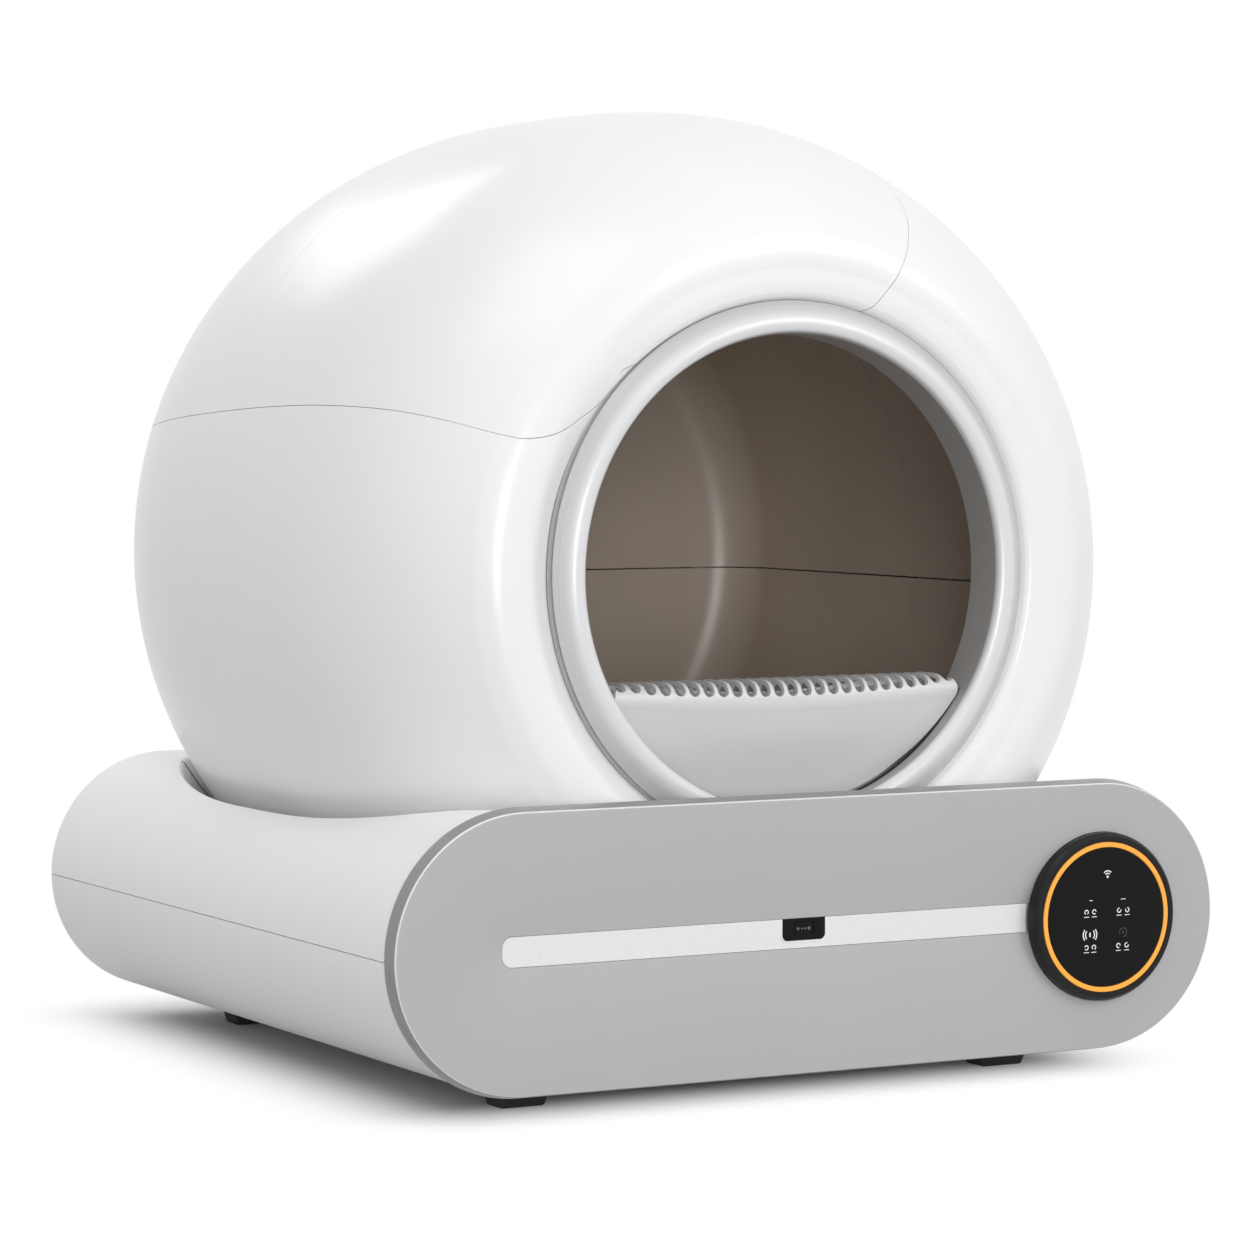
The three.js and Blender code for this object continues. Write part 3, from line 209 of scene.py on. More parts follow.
class Form:
    """A closed mesh in the making, in metres."""

    def __init__(self, mesh: bmesh.types.BMesh | None = None) -> None:
        """Starts with a mesh, or with an empty one."""
        self.mesh = mesh or bmesh.new()

    @classmethod
    def turned(
        cls, profile: Sequence[Point2], steps: int = 192, x: float = 0.0, z: float = AXIS_Z
    ) -> "Form":
        """Spins a closed profile about an axis along Y.

        Args:
            profile: (radius, depth) points, in order.
            steps: pieces of the full turn.
            x: the axis's place across.
            z: the axis's height.

        Returns:
            The form.
        """
        form = cls()
        verts = [form.mesh.verts.new(spot(x + radius, depth, z)) for radius, depth in profile]
        edges = [form.mesh.edges.new((v, verts[i - 1])) for i, v in enumerate(verts)]
        bmesh.ops.spin(
            form.mesh,
            geom=[*verts, *edges],
            cent=spot(x, 0, z),
            axis=(0, 1, 0),
            angle=FULL_TURN,
            steps=steps,
            use_merge=True,
        )
        return form.healed()

    @classmethod
    def drawn(cls, corners: Iterable[Vector], along: Vector) -> "Form":
        """Draws a flat outline straight through space.

        Args:
            corners: the outline's points, in metres.
            along: which way and how far, in metres.

        Returns:
            The form.
        """
        form = cls()
        face = form.mesh.faces.new([form.mesh.verts.new(corner) for corner in corners])
        extruded = bmesh.ops.extrude_face_region(form.mesh, geom=[face])["geom"]
        ends = [item for item in extruded if isinstance(item, bmesh.types.BMVert)]
        bmesh.ops.translate(form.mesh, verts=ends, vec=along)
        return form.healed()

    @classmethod
    def prism(
        cls, outline: Sequence[Point2], front: float, back: float, z: float = MID_Z
    ) -> "Form":
        """Draws an outline of (x, z) points back through the depths from front to back."""
        along = Vector((0, (back - front) * MM, 0))
        return cls.drawn([spot(u, front, z + v) for u, v in outline], along)

    @classmethod
    def crosswise(cls, outline: Sequence[Point2], left: float, right: float) -> "Form":
        """Draws an outline of (depth, z) points across from left to right."""
        along = Vector(((right - left) * MM, 0, 0))
        return cls.drawn([spot(left, u, v) for u, v in outline], along)

    @classmethod
    def lofted(cls, loops: Sequence[tuple[Sequence[Point2], float]]) -> "Form":
        """Bridges outlines that have as many points each, and closes both ends.

        Args:
            loops: each outline of (x, rise) points with its depth, in order.

        Returns:
            The form.
        """
        form, rings = cls(), []
        for outline, depth in loops:
            verts = [form.mesh.verts.new(spot(u, depth, MID_Z + v)) for u, v in outline]
            edges = [form.mesh.edges.new((v, verts[i - 1])) for i, v in enumerate(verts)]
            rings.append((verts, edges))
        for (_, near), (_, far) in zip(rings, rings[1:]):
            bmesh.ops.bridge_loops(form.mesh, edges=[*near, *far])
        form.mesh.faces.new(rings[0][0])
        form.mesh.faces.new(rings[-1][0])
        return form.healed()

    @classmethod
    def block(cls, xs: Point2, depths: Point2, zs: Point2, round_off: float = 0.0) -> "Form":
        """A block between two places.

        Args:
            xs: its left and right sides.
            depths: its front and back.
            zs: its bottom and top.
            round_off: the radius of its edges.

        Returns:
            The form.
        """
        form = cls()
        size = Vector((xs[1] - xs[0], depths[1] - depths[0], zs[1] - zs[0])) * MM
        centre = spot(sum(xs) / 2, sum(depths) / 2, sum(zs) / 2)
        bmesh.ops.create_cube(
            form.mesh, size=1, matrix=Matrix.Translation(centre) @ Matrix.Diagonal((*size, 1))
        )
        return form.bevelled(round_off) if round_off else form

    @classmethod
    def rod(
        cls,
        radius: float,
        front: float,
        back: float,
        x: float,
        z: float,
        edge: float = 0.0,
        steps: int = 96,
    ) -> "Form":
        """A round bar along Y.

        Args:
            radius: of the bar.
            front: depth of its front end.
            back: depth of its back end.
            x: its axis's place across.
            z: its axis's height.
            edge: the rounding of both rims.
            steps: pieces of the full turn.

        Returns:
            The form.
        """
        ends = [(0.0, front), (radius, front), (radius, back), (0.0, back)]
        if edge:
            flat = radius - edge
            bends = [(edge * math.sin(a), edge * math.cos(a)) for a in quarter()]
            ends = [
                (0.0, front), *[(flat + u, front + edge - v) for u, v in bends],
                *[(flat + v, back - edge + u) for u, v in bends], (0.0, back),
            ]
        return cls.turned(ends, steps, x, z)

    def copy(self) -> "Form":
        """Another form with the same mesh."""
        return Form(self.mesh.copy())

    def healed(self) -> "Form":
        """Merges doubled points and turns every face outwards."""
        bmesh.ops.remove_doubles(self.mesh, verts=self.mesh.verts, dist=1e-6)
        bmesh.ops.recalc_face_normals(self.mesh, faces=self.mesh.faces)
        return self

    def shaped(self, change: Callable[[Vector], Vector]) -> "Form":
        """Moves each point to where change puts it."""
        for vert in self.mesh.verts:
            vert.co = change(vert.co)
        return self

    def sliced(self, axis: int, places: Iterable[float]) -> "Form":
        """Cuts every face along planes and keeps both sides.

        Args:
            axis: number of the axis that the planes stand across.
            places: where they stand on it, in metres.

        Returns:
            This form.
        """
        for place in places:
            point, normal = Vector(), Vector()
            point[axis], normal[axis] = place, 1.0
            bmesh.ops.bisect_plane(
                self.mesh,
                geom=[*self.mesh.verts, *self.mesh.edges, *self.mesh.faces],
                dist=1e-7,
                plane_co=point,
                plane_no=normal,
            )
        return self

    def bevelled(
        self,
        width: float,
        segments: int = 3,
        chosen: Callable[[bmesh.types.BMEdge], bool] = lambda edge: True,
    ) -> "Form":
        """Rounds the sharp edges.

        Args:
            width: how far the rounding reaches from the edge, in millimetres.
            segments: steps of the rounding.
            chosen: says which of the sharp edges are rounded.

        Returns:
            This form.
        """
        sharp = [
            e
            for e in self.mesh.edges
            if len(e.link_faces) == 2 and e.calc_face_angle(0) > SHARP_ANGLE and chosen(e)
        ]
        bmesh.ops.bevel(
            self.mesh,
            geom=sharp,
            offset=width * MM,
            offset_type="OFFSET",
            segments=segments,
            profile=0.5,
            affect="EDGES",
            material=-1,
            clamp_overlap=True,
        )
        return self

    def cut(self, other: "Form", how: Cut) -> "Form":
        """Works another form into this one.

        Args:
            other: the other form, which is left as it is.
            how: whether it is joined, taken away, or all that is kept.

        Returns:
            This form.
        """
        first, second = self.loose("first"), other.loose("second")
        modifier = first.modifiers.new("cut", "BOOLEAN")
        modifier.object, modifier.operation, modifier.solver = second, how.value, "MANIFOLD"
        bpy.context.view_layer.update()
        result = first.evaluated_get(bpy.context.evaluated_depsgraph_get()).to_mesh()
        self.mesh.clear()
        self.mesh.from_mesh(result)
        for thing in (first, second):
            data = thing.data
            bpy.data.objects.remove(thing)
            bpy.data.meshes.remove(data)
        return self

    def joined(self, *others: "Form") -> "Form":
        """Joins other forms to this one."""
        for other in others:
            self.cut(other, Cut.JOIN)
        return self

    def without(self, *others: "Form") -> "Form":
        """Takes other forms away from this one."""
        for other in others:
            self.cut(other, Cut.TAKE)
        return self

    def within(self, other: "Form") -> "Form":
        """Keeps what lies inside another form."""
        return self.cut(other, Cut.KEEP)

    def beside(self, *others: "Form") -> "Form":
        """Puts forms that touch nothing into the same mesh.

        Args:
            others: the other forms, which are left as they are.

        Returns:
            This form.
        """
        for other in others:
            mesh = bpy.data.meshes.new("part")
            other.mesh.to_mesh(mesh)
            self.mesh.from_mesh(mesh)
            bpy.data.meshes.remove(mesh)
        return self

    def loose(self, name: str) -> bpy.types.Object:
        """An object in the scene with this form's mesh."""
        mesh = bpy.data.meshes.new(name)
        self.mesh.to_mesh(mesh)
        return placed(name, mesh)


def placed(name: str, data: bpy.types.ID) -> bpy.types.Object:
    """Puts an object with this mesh, lamp or camera into the scene."""
    thing = bpy.data.objects.new(name, data)
    bpy.context.scene.collection.objects.link(thing)
    return thing


def disc_hole() -> Form:
    """The hole through panel and base behind the control disc."""
    return Form.rod(BOSS_HOLE, -5, 20, DISC_X, MID_Z + DISC_RISE, steps=48)


def quarter(steps: int = 6) -> list[float]:
    """Angles of a quarter turn, in radians."""
    return [math.pi / 2 * i / steps for i in range(steps + 1)]


@dataclass(frozen=True)
class Piece:
    """A finished piece: where it belongs and what it is dressed in.

    Fields:
        name: the piece's name.
        body: the moving body that it rides on.
        finish: its surface.
        replaces: the solids whose place it takes.
        level: whether its normals lean to its large faces.
    """

    name: str
    body: str
    finish: "Finish"
    replaces: tuple[str, ...] = ()
    level: bool = False

    def made(self, form: Form) -> bpy.types.Object:
        """Makes the object, dresses it and gives it to its body.

        Args:
            form: the piece's shape.

        Returns:
            The finished object.
        """
        thing = form.loose(self.name)
        thing.data.shade_smooth()
        thing.data.set_sharp_from_angle(angle=SMOOTH_ANGLE)
        thing.data.materials.append(self.finish.material())
        if self.level:
            thing.modifiers.new("level", "WEIGHTED_NORMAL").keep_sharp = True
        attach(thing, self.body)
        if self.replaces:
            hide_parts(*self.replaces)
        log.info("%s: %d faces on %s", self.name, len(thing.data.polygons), self.body)
        return thing


# Materials ----------------------------------------------------------------------------------------


def shade(value: float) -> float:
    """A screen level from 0 to 255 as a linear share."""
    c = value / 255
    return c / 12.92 if c <= 0.04045 else ((c + 0.055) / 1.055) ** 2.4


def rgb(red: float, green: float, blue: float) -> tuple[float, float, float, float]:
    """A screen colour as the shader's linear colour."""
    return (shade(red), shade(green), shade(blue), 1.0)


class Sock:
    """A socket that takes part in arithmetic."""

    def __init__(self, graph: "Graph", socket: bpy.types.NodeSocket) -> None:
        """Wraps an output socket of a graph."""
        self.graph = graph
        self.socket = socket

    def _maths(self, operation: str, *values: Any) -> "Sock":
        """Adds a Math node on these values."""
        return self.graph.node("ShaderNodeMath", {"operation": operation}, dict(enumerate(values)))

    def __add__(self, other: Any) -> "Sock":
        """Sum."""
        return self._maths("ADD", self, other)

    __radd__ = __add__

    def __mul__(self, other: Any) -> "Sock":
        """Product."""
        return self._maths("MULTIPLY", self, other)

    __rmul__ = __mul__

    def __sub__(self, other: Any) -> "Sock":
        """Difference."""
        return self._maths("SUBTRACT", self, other)

    def __rsub__(self, other: Any) -> "Sock":
        """Difference, from the other side."""
        return self._maths("SUBTRACT", other, self)

    def eased(self, low: float, high: float) -> "Sock":
        """Rises smoothly from 0 at low to 1 at high."""
        return self.graph.node(
            "ShaderNodeMapRange",
            {"interpolation_type": "SMOOTHSTEP"},
            {"Value": self, "From Min": low, "From Max": high, "To Min": 0.0, "To Max": 1.0},
        )


class Graph:
    """The nodes of one material, or of the surround."""

    def __init__(self, owner: bpy.types.Material | bpy.types.World) -> None:
        """Switches the owner's nodes on."""
        owner.use_nodes = True
        self.tree = owner.node_tree

    def node(
        self,
        kind: str,
        settings: dict[str, Any] | None = None,
        inputs: dict[str | int, Any] | None = None,
        output: str | int = 0,
    ) -> Sock:
        """Adds a node.

        Args:
            kind: the node's type.
            settings: its own settings, set first.
            inputs: values or links of its sockets, by name or number.
            output: the socket that is returned.

        Returns:
            The chosen output, ready for arithmetic.
        """
        made = self.tree.nodes.new(kind)
        for key, value in (settings or {}).items():
            setattr(made, key, value)
        for key, value in (inputs or {}).items():
            self.feed(made.inputs[key], value)
        return Sock(self, made.outputs[output])

    def vector(self, operation: str, *values: Any, output: str = "Vector") -> Sock:
        """Adds a Vector Math node on these values."""
        inputs = dict(enumerate(values))
        return self.node("ShaderNodeVectorMath", {"operation": operation}, inputs, output)

    def feed(self, socket: bpy.types.NodeSocket, value: Any) -> None:
        """Links or sets an input."""
        if isinstance(value, Sock):
            self.tree.links.new(value.socket, socket)
        else:
            socket.default_value = value

    def place(self) -> Sock:
        """The object's own coordinates."""
        return self.node("ShaderNodeTexCoord", output="Object")

    def noise(self, scale: float, detail: float, stretch: Point3 = (1.0, 1.0, 1.0)) -> Sock:
        """Adds soft noise.

        Args:
            scale: its repeats per metre.
            detail: how many finer layers it has.
            stretch: how often it repeats along each axis beside the scale.

        Returns:
            Its value, from 0 to 1.
        """
        where = self.node("ShaderNodeMapping", {}, {"Vector": self.place(), "Scale": stretch})
        return self.node(
            "ShaderNodeTexNoise", {}, {"Vector": where, "Scale": scale, "Detail": detail}
        )

    def mixed(self, share: Any, first: Any, second: Any) -> Sock:
        """A colour between two colours."""
        inputs = {0: share, 6: first, 7: second}
        return self.node("ShaderNodeMix", {"data_type": "RGBA"}, inputs, output=2)

    def bump(self, height: Sock, strength: float, distance: float) -> Sock:
        """A normal that follows a height, its distance in metres."""
        return self.node(
            "ShaderNodeBump", {}, {"Height": height, "Strength": strength, "Distance": distance}
        )


mixed_finishes: dict[str, bpy.types.Material] = {}


@dataclass(frozen=True)
class Finish:
    """A surface: its colour on screen, its gloss and its grain.

    Fields:
        label: the material's name.
        slot: the record's material slot; not used.
        colour: red, green and blue from 0 to 255, in plain light.
        roughness: from 0, polished, to 1, dull.
        metallic: 1 for bare metal.
        coat: clear lacquer, from 0 to 1.
        coat_roughness: how dull that lacquer is.
        specular: how much plain light the surface reflects.
        grain: repeats per metre of the surface's texture.
        relief: how deep that texture is, in millimetres.
        patchy: how much the roughness wanders, as a share.
        mottle: how much the colour wanders, as a share.
        glow: how much light it gives off.
        stretch: how often the texture repeats along each axis beside its grain.
        rim: another colour outside rim_radii; on the mouth ring the lighter crest within is painted
            highlight.
        rim_radii: where the rim's colour fades in, from the drum's axis in millimetres.
    """

    label: str
    slot: str
    colour: Colour
    roughness: float
    metallic: float = 0.0
    coat: float = 0.0
    coat_roughness: float = 0.1
    specular: float = 0.5
    grain: float = 900.0
    relief: float = 0.01
    patchy: float = 0.1
    mottle: float = 0.03
    glow: float = 0.0
    stretch: Point3 = (1.0, 1.0, 1.0)
    rim: Colour | None = None
    rim_radii: Point2 = (0.0, 1.0)

    def material(self) -> bpy.types.Material:
        """The material, made once."""
        if self.label not in mixed_finishes:
            mixed_finishes[self.label] = self.mixed_up()
        return mixed_finishes[self.label]

    def mixed_up(self) -> bpy.types.Material:
        """Builds the nodes.

        Returns:
            The new material.
        """
        made = bpy.data.materials.new(self.label)
        graph = Graph(made)
        inputs = graph.tree.nodes["Principled BSDF"].inputs
        base = rgb(*self.colour)
        darker = (*(c * (1 - self.mottle) for c in base[:3]), 1.0)
        colour = graph.mixed(graph.noise(9.0, 3.0).eased(0.35, 0.65), darker, base)
        # Outside the rim radii the colour turns to the rim's; on the mouth ring the lighter colour
        # within is painted highlight.
        if self.rim:
            axis = (0.0, 0.0, -AXIS_Z * MM)
            outwards = graph.vector("MULTIPLY_ADD", graph.place(), (1.0, 0.0, 1.0), axis)
            radius = graph.vector("LENGTH", outwards, output="Value")
            low, high = self.rim_radii
            colour = graph.mixed(radius.eased(low * MM, high * MM), colour, rgb(*self.rim))
        wander = (graph.noise(26.0, 4.0) - 0.5) * (2 * self.patchy * self.roughness)
        fine = graph.noise(self.grain, 2.0, self.stretch)
        for name, value in (
            ("Base Color", colour),
            ("Roughness", wander + self.roughness),
            ("Normal", graph.bump(fine, 0.5, self.relief * MM)),
            ("Metallic", self.metallic),
            ("Coat Weight", self.coat),
            ("Coat Roughness", self.coat_roughness),
            ("Specular IOR Level", self.specular),
            ("Emission Color", base if self.glow else WHITE),
            ("Emission Strength", self.glow),
        ):
            graph.feed(inputs[name], value)
        return made


GLOBE_WHITE = Finish(
    "globe_gloss", "globe_white", (247, 247, 248), 0.3, coat=0.25, coat_roughness=0.16,
    relief=0.004, mottle=0.015,
)
BASE_WHITE = Finish(
    "base_satin", "base_white", (252, 252, 252), 0.42, grain=1400, relief=0.008, mottle=0.01
)
# The mouth ring's own tone is the rim colour; its lighter colour inside the rim radii is a painted
# highlight on the crest.
RING_WHITE_PAINTED_HIGHLIGHT = Finish(
    "ring_gloss_painted_highlight", "ring_white", (228, 228, 230), 0.3, coat=1.0, coat_roughness=0.26, relief=0.003,
    rim=(200, 200, 202), rim_radii=(145.5, 151.5),
)
LIP_WHITE = Finish("lip_satin", "ring_white", (216, 216, 218), 0.34, coat=0.2, relief=0.004)
SEAL = Finish("gap_seal", "grey_plastic", (188, 187, 186), 0.5, relief=0.006)
SLEEVE = Finish("mouth_sleeve", "grey_plastic", (166, 164, 162), 0.45, relief=0.006)
SILVER = Finish(
    "silver_paint", "silver", (184, 184, 186), 0.4, metallic=0.15, grain=2200, relief=0.006,
    patchy=0.05, mottle=0.015,
)
# Darker silver for the panel's flared side: painted shade for the side turned away from the light.
SILVER_PAINTED_SHADE = Finish(
    "silver_painted_shade", "silver", (146, 146, 148), 0.3, grain=2200, relief=0.006,
    patchy=0.05, mottle=0.015,
)
PEARL = Finish("light_strip", "pearl", (238, 238, 240), 0.28, coat=0.2, relief=0.003, mottle=0.01)
BLACK = Finish(
    "black_satin", "black_plastic", (28, 28, 29), 0.3, specular=0.2, relief=0.006, patchy=0.15
)
GLASS = Finish("disc_gloss", "black_glass", (18, 18, 18), 0.12, specular=0.12, relief=0.001)
# Pale bluish grey for the sensor's eyes: painted glints on the dark lens.
EYE_PAINTED_GLINT = Finish("sensor_eye", "black_glass", (84, 94, 108), 0.1, relief=0.001)
ORANGE = Finish(
    "orange_diffuser", "orange_light", (246, 168, 66), 0.35, relief=0.002, mottle=0.06, glow=0.3
)
PRINT = Finish("white_print", "pearl", (225, 226, 228), 0.5, relief=0.002, glow=0.25)
FAINT_PRINT = Finish("faint_print", "black_glass", (62, 62, 64), 0.5, relief=0.002)
RUBBER = Finish("foot_rubber", "rubber", (51, 50, 50), 0.75, grain=700, relief=0.03, mottle=0.12)
TAUPE = Finish(
    "drum_taupe", "taupe", (202, 189, 175), 0.3, grain=1100, relief=0.008, mottle=0.06
)
GREY = Finish("grey_moulding", "grey_plastic", (142, 145, 150), 0.55, relief=0.02, mottle=0.05)
STEEL = Finish(
    "plain_steel", "steel", (168, 171, 176), 0.32, metallic=1.0, grain=600, relief=0.004,
    stretch=(1.0, 12.0, 1.0),
)
NYLON = Finish("gear_nylon", "nylon", (216, 214, 207), 0.5, relief=0.01, mottle=0.05)
BOARD = Finish(
    "board_lacquer", "circuit_board", (31, 90, 56), 0.55, grain=350, relief=0.01, mottle=0.2
)


# Globe housing ------------------------------------------------------------------------------------


@dataclass
class Globe:
    """The fixed white housing: two shells and the lift-off cover above them."""

    radius: float = 270.2
    centre_depth: float = 282.2
    front_length: float = 290.7
    front_power: float = 3.147
    front_end: float = 39.5
    rear_length: float = 287.4
    rear_power: float = 2.417
    rear_end: float = 57.0
    back_depth: float = 499.5
    wall: float = 3.5
    lip_depth: float = 41.5
    lip_end: float = 45.5
    hole: float = 154.4
    seal_radii: Point2 = (153.2, 157.2)
    seal_depths: Point2 = (37.0, 38.2)
    lift: float = 4.3
    lift_depths: Point2 = (43.0, 160.0)
    dish_back: float = 46.0
    dish_hole: float = 150.0
    dish_fade: Point2 = (158.0, 175.0)
    dish_side: float = 195.0
    dish_turn: Point2 = (0.2, 0.9)
    dish_raise: float = 5.4
    dish_sink: float = 2.6
    dish_room: float = 0.9
    room_fade: Point2 = (157.0, 161.0)
    bottom_rise: float = 19.5
    girth: float = 276.0
    girth_gap: float = 0.35
    girth_round: Point2 = (0.2, 0.3)
    tongue: float = 3.0
    tongue_drop: float = 0.6
    tongue_play: float = 0.1
    tongue_wall: float = 1.2
    cover_gap: float = 0.3
    cover_corner: Point2 = (-182.0, -172.0)
    cover_behind: Point2 = (60.0, 200.0)
    cover_top: float = 500.0
    dish: tuple[Point2, ...] = (
        (193.5, 30.0), (185.5, 27.9), (178.5, 27.5), (173.0, 28.1), (169.0, 29.4), (165.5, 31.2),
        (162.2, 33.1), (159.2, 34.8), (157.0, 36.3), (155.9, 38.4),
    )
    crown: tuple[Point2, ...] = ((216.2, 475.5), (189.1, 491.0), (145.9, 499.5), (70.0, 499.5))
    cover_side: tuple[Point2, ...] = (
        (-60.0, 378.3), (24.0, 378.3), (29.0, 378.6), (33.0, 379.6), (36.1, 380.5), (44.1, 383.3),
        (53.0, 386.3), (63.0, 389.0), (73.8, 391.2), (85.8, 393.3), (98.9, 394.7), (113.3, 395.7),
        (129.2, 396.4), (156.7, 396.8), (189.3, 396.3), (227.0, 395.1), (269.1, 393.2),
        (314.7, 390.7), (352.4, 388.2), (388.8, 385.7), (440.0, 383.0), (600.0, 380.0),
    )
    cover_front: tuple[Point2, ...] = (
        (-320.0, 378.3), (-171.1, 378.3), (-163.6, 379.2), (-155.5, 381.2), (-146.4, 385.2),
        (-138.8, 389.5), (-131.7, 393.5), (-125.4, 397.7), (-119.6, 402.4), (-111.9, 409.4),
        (-102.0, 420.0), (16.2, 440.5), (37.8, 448.7), (48.6, 452.7), (55.8, 459.6), (64.0, 468.8),
        (71.9, 480.5), (83.8, 496.3), (92.9, 509.4), (98.9, 524.3), (100.5, 540.5), (100.5, 629.7),
    )

    cover_back: tuple[Point2, ...] = (
        (-190.0, 383.2), (-172.0, 385.4), (-140.0, 390.5), (-100.0, 399.5), (-55.0, 413.0),
        (-10.0, 430.0), (20.0, 442.5), (37.8, 450.2), (48.6, 456.0), (55.8, 460.6), (64.0, 468.8),
    )

    def arc(self, length: float, power: float, end: float, parts: int) -> list[Point2]:
        """Part of the globe's outline, from its widest place to an end angle.

        Args:
            length: how far the globe reaches that way, less than 0 for forwards.
            power: how square the outline is.
            end: the angle, in degrees.
            parts: pieces of the arc.

        Returns:
            The (radius, depth) points after the widest place.
        """
        line = []
        for part in range(1, parts + 1):
            angle = math.radians(90 - (90 - end) * part / parts)
            across = math.sin(angle) ** (2 / power)
            along = math.cos(angle) ** (2 / power)
            line.append((self.radius * across, self.centre_depth + length * along))
        return line

    def half_line(self, arc: list[Point2], rest: Iterable[Point2]) -> list[Point2]:
        """An outline from the widest place along an arc and on through other points."""
        bend = eased([*arc[-2:], *rest], 8)
        return [(self.radius, self.centre_depth), *arc[:-2], *bend]

    def front_line(self) -> list[Point2]:
        """Outline from the widest place forwards, over the dish, to the mouth's edge."""
        arc = self.arc(-self.front_length, self.front_power, self.front_end, 36)
        return self.half_line(arc, [*self.dish, (self.hole, self.lip_depth)])

    def rear_line(self) -> list[Point2]:
        """Outline from the widest place backwards to the axis."""
        arc = self.arc(self.rear_length, self.rear_power, self.rear_end, 28)
        return self.half_line(arc, [*self.crown, (0.0, self.back_depth)])

    def climbed(self, place: Vector) -> Vector:
        """The globe's round sections climb a little behind the mouth."""
        rise = self.lift * smoothstep(place.y / MM - FACE_Y, *self.lift_depths)
        return place + Vector((0, 0, rise * MM))

    def dished(self, place: Vector) -> Vector:
        """The dish round the mouth is deep on the left and nearly level elsewhere.

        Args:
            place: a point of the housing as it was turned.

        Returns:
            Where that point comes to lie.
        """
        x, z = place.x / MM, place.z / MM - AXIS_Z
        radius = math.hypot(x, z)
        if place.y / MM - FACE_Y > self.dish_back or radius < self.dish_hole:
            return self.climbed(place)
        side = swung((0.0, 0.0), 1.0, math.radians(self.dish_side))
        left = smoothstep((x * side[0] + z * side[1]) / radius, *self.dish_turn)
        sink = left * (self.dish_raise + self.dish_sink) - self.dish_raise
        sink *= 1 - smoothstep(radius, *self.dish_fade)
        wider = self.dish_room * (1 - left) * (1 - smoothstep(radius, *self.room_fade)) / radius
        return place + Vector((x * wider, sink, z * wider)) * MM

    def grown(self, distance: float, steps: int = 192) -> Form:
        """The whole globe without its mouth.

        Args:
            distance: how much larger it is than the real one.
            steps: pieces of its full turn.

        Returns:
            The solid globe.
        """
        front = self.front_line()
        crest = min(range(len(front)), key=lambda i: front[i][1])
        flat = (0.0, front[crest][1])
        grown = offset([flat, *reversed(front[: crest + 1]), *self.rear_line()[1:]], distance)
        grown[0], grown[-1] = (0.0, grown[1][1]), (0.0, grown[-2][1])
        return Form.turned(grown, steps).shaped(self.climbed)

    def shell(self, line: list[Point2], side: float, closing: list[Point2]) -> Form:
        """A wall that follows an outline, with a tongued edge at the girth seam.

        Args:
            line: the outline from its widest place on.
            side: -1 in front of the seam and 1 behind it.
            closing: points that lead from the outline's end to the inside.

        Returns:
            The wall, open where the other shell meets it.
        """
        skin = [p for p in line if (p[1] - self.girth) * side > 0]
        edge = self.girth + side * self.girth_gap / 2
        start = [(self.radius - self.girth_round[0], edge),
                 (self.radius, edge + side * self.girth_round[1])]
        inner = [p for p in offset(skin, -self.wall * side) if p[0] > 0]
        step, inside = self.radius - self.tongue_drop, self.radius - self.wall
        if side < 0:
            step -= self.tongue_play
            root, tip = step - self.tongue_wall, edge + self.tongue
            edges = [(step, edge), (step, tip), (root, tip), (root, edge),
                     (inside, edge - self.tongue)]
        else:
            ledge = edge + self.tongue + self.tongue_drop
            edges = [(step, edge), (step, ledge), (inside, ledge)]
        wall = Form.turned([*start, *skin, *closing, *reversed([*edges, *inner])])
        return wall.shaped(self.dished)

    def cover_space(self, shift: float) -> Form:
        """The space above the cover's edge.

        Args:
            shift: how far it is moved up and to the left.

        Returns:
            The space as a form that cuts the shells.
        """
        edge = [self.cover_front[0], *eased(self.cover_front[1:], 6)]
        outline = [(x - shift, z + shift) for x, z in [*edge, (-320, 630)]]
        form = Form.prism(outline, -20, 560, z=0)
        form.sliced(1, [spot(0, depth, 0).y for depth in range(0, 540, 6)])
        side, back = eased(self.cover_side, 4), eased(self.cover_back, 6)

        def lifted(place: Vector) -> Vector:
            """Raises the left side's edge by its depth and eases the edge at the back.

            Args:
                place: a point of the straight space.

            Returns:
                Where that point comes to lie.
            """
            x, depth, z = place.x / MM, place.y / MM - FACE_Y, place.z / MM
            if z > self.cover_top or x > back[-1][0] - 1:
                return place
            aside = 1 - smoothstep(x, *self.cover_corner)
            behind = (1 - aside) * smoothstep(depth, *self.cover_behind)
            rise = (between(side, depth) - side[0][1]) * aside
            rise += (between(back, x + shift) + shift - z) * behind
            return place + Vector((0, 0, rise * MM))

        corner = range(int(self.cover_corner[0]), int(self.cover_corner[1]), 2)
        return form.sliced(0, [v * MM for v in corner]).shaped(lifted)

    def build(self) -> None:
        """Makes the seal, the two shells and the two halves of the cover."""
        lip = [(self.hole + 0.4, self.lip_end), (self.hole + self.wall, self.lip_end)]
        end = [(0.0, self.back_depth - self.wall)]
        shells = {
            "front": self.shell(self.front_line(), -1, lip),
            "rear": self.shell(self.rear_line(), 1, end),
        }
        (low, high), (near, far) = self.seal_radii, self.seal_depths
        seal = Form.turned([(low, far), (low, near), (high, near), (high, far)])
        Piece("mouth_gap_seal", "base", SEAL).made(seal)
        floor = Form.block((-300, 300), (-40, 540), (0, MID_Z + self.bottom_rise))
        gap = self.cover_gap / 2
        for name, form in shells.items():
            form.without(floor)
            cover = form.copy().within(self.cover_space(gap))
            form.without(self.cover_space(-gap))
            for part, body, shape in (("housing", "base", form), ("cover", "cover", cover)):
                solids = (f"{part}_{name}_shell",)
                Piece(f"{part}_{name}", body, GLOBE_WHITE, solids).made(shape)


# Base ---------------------------------------------------------------------------------------------


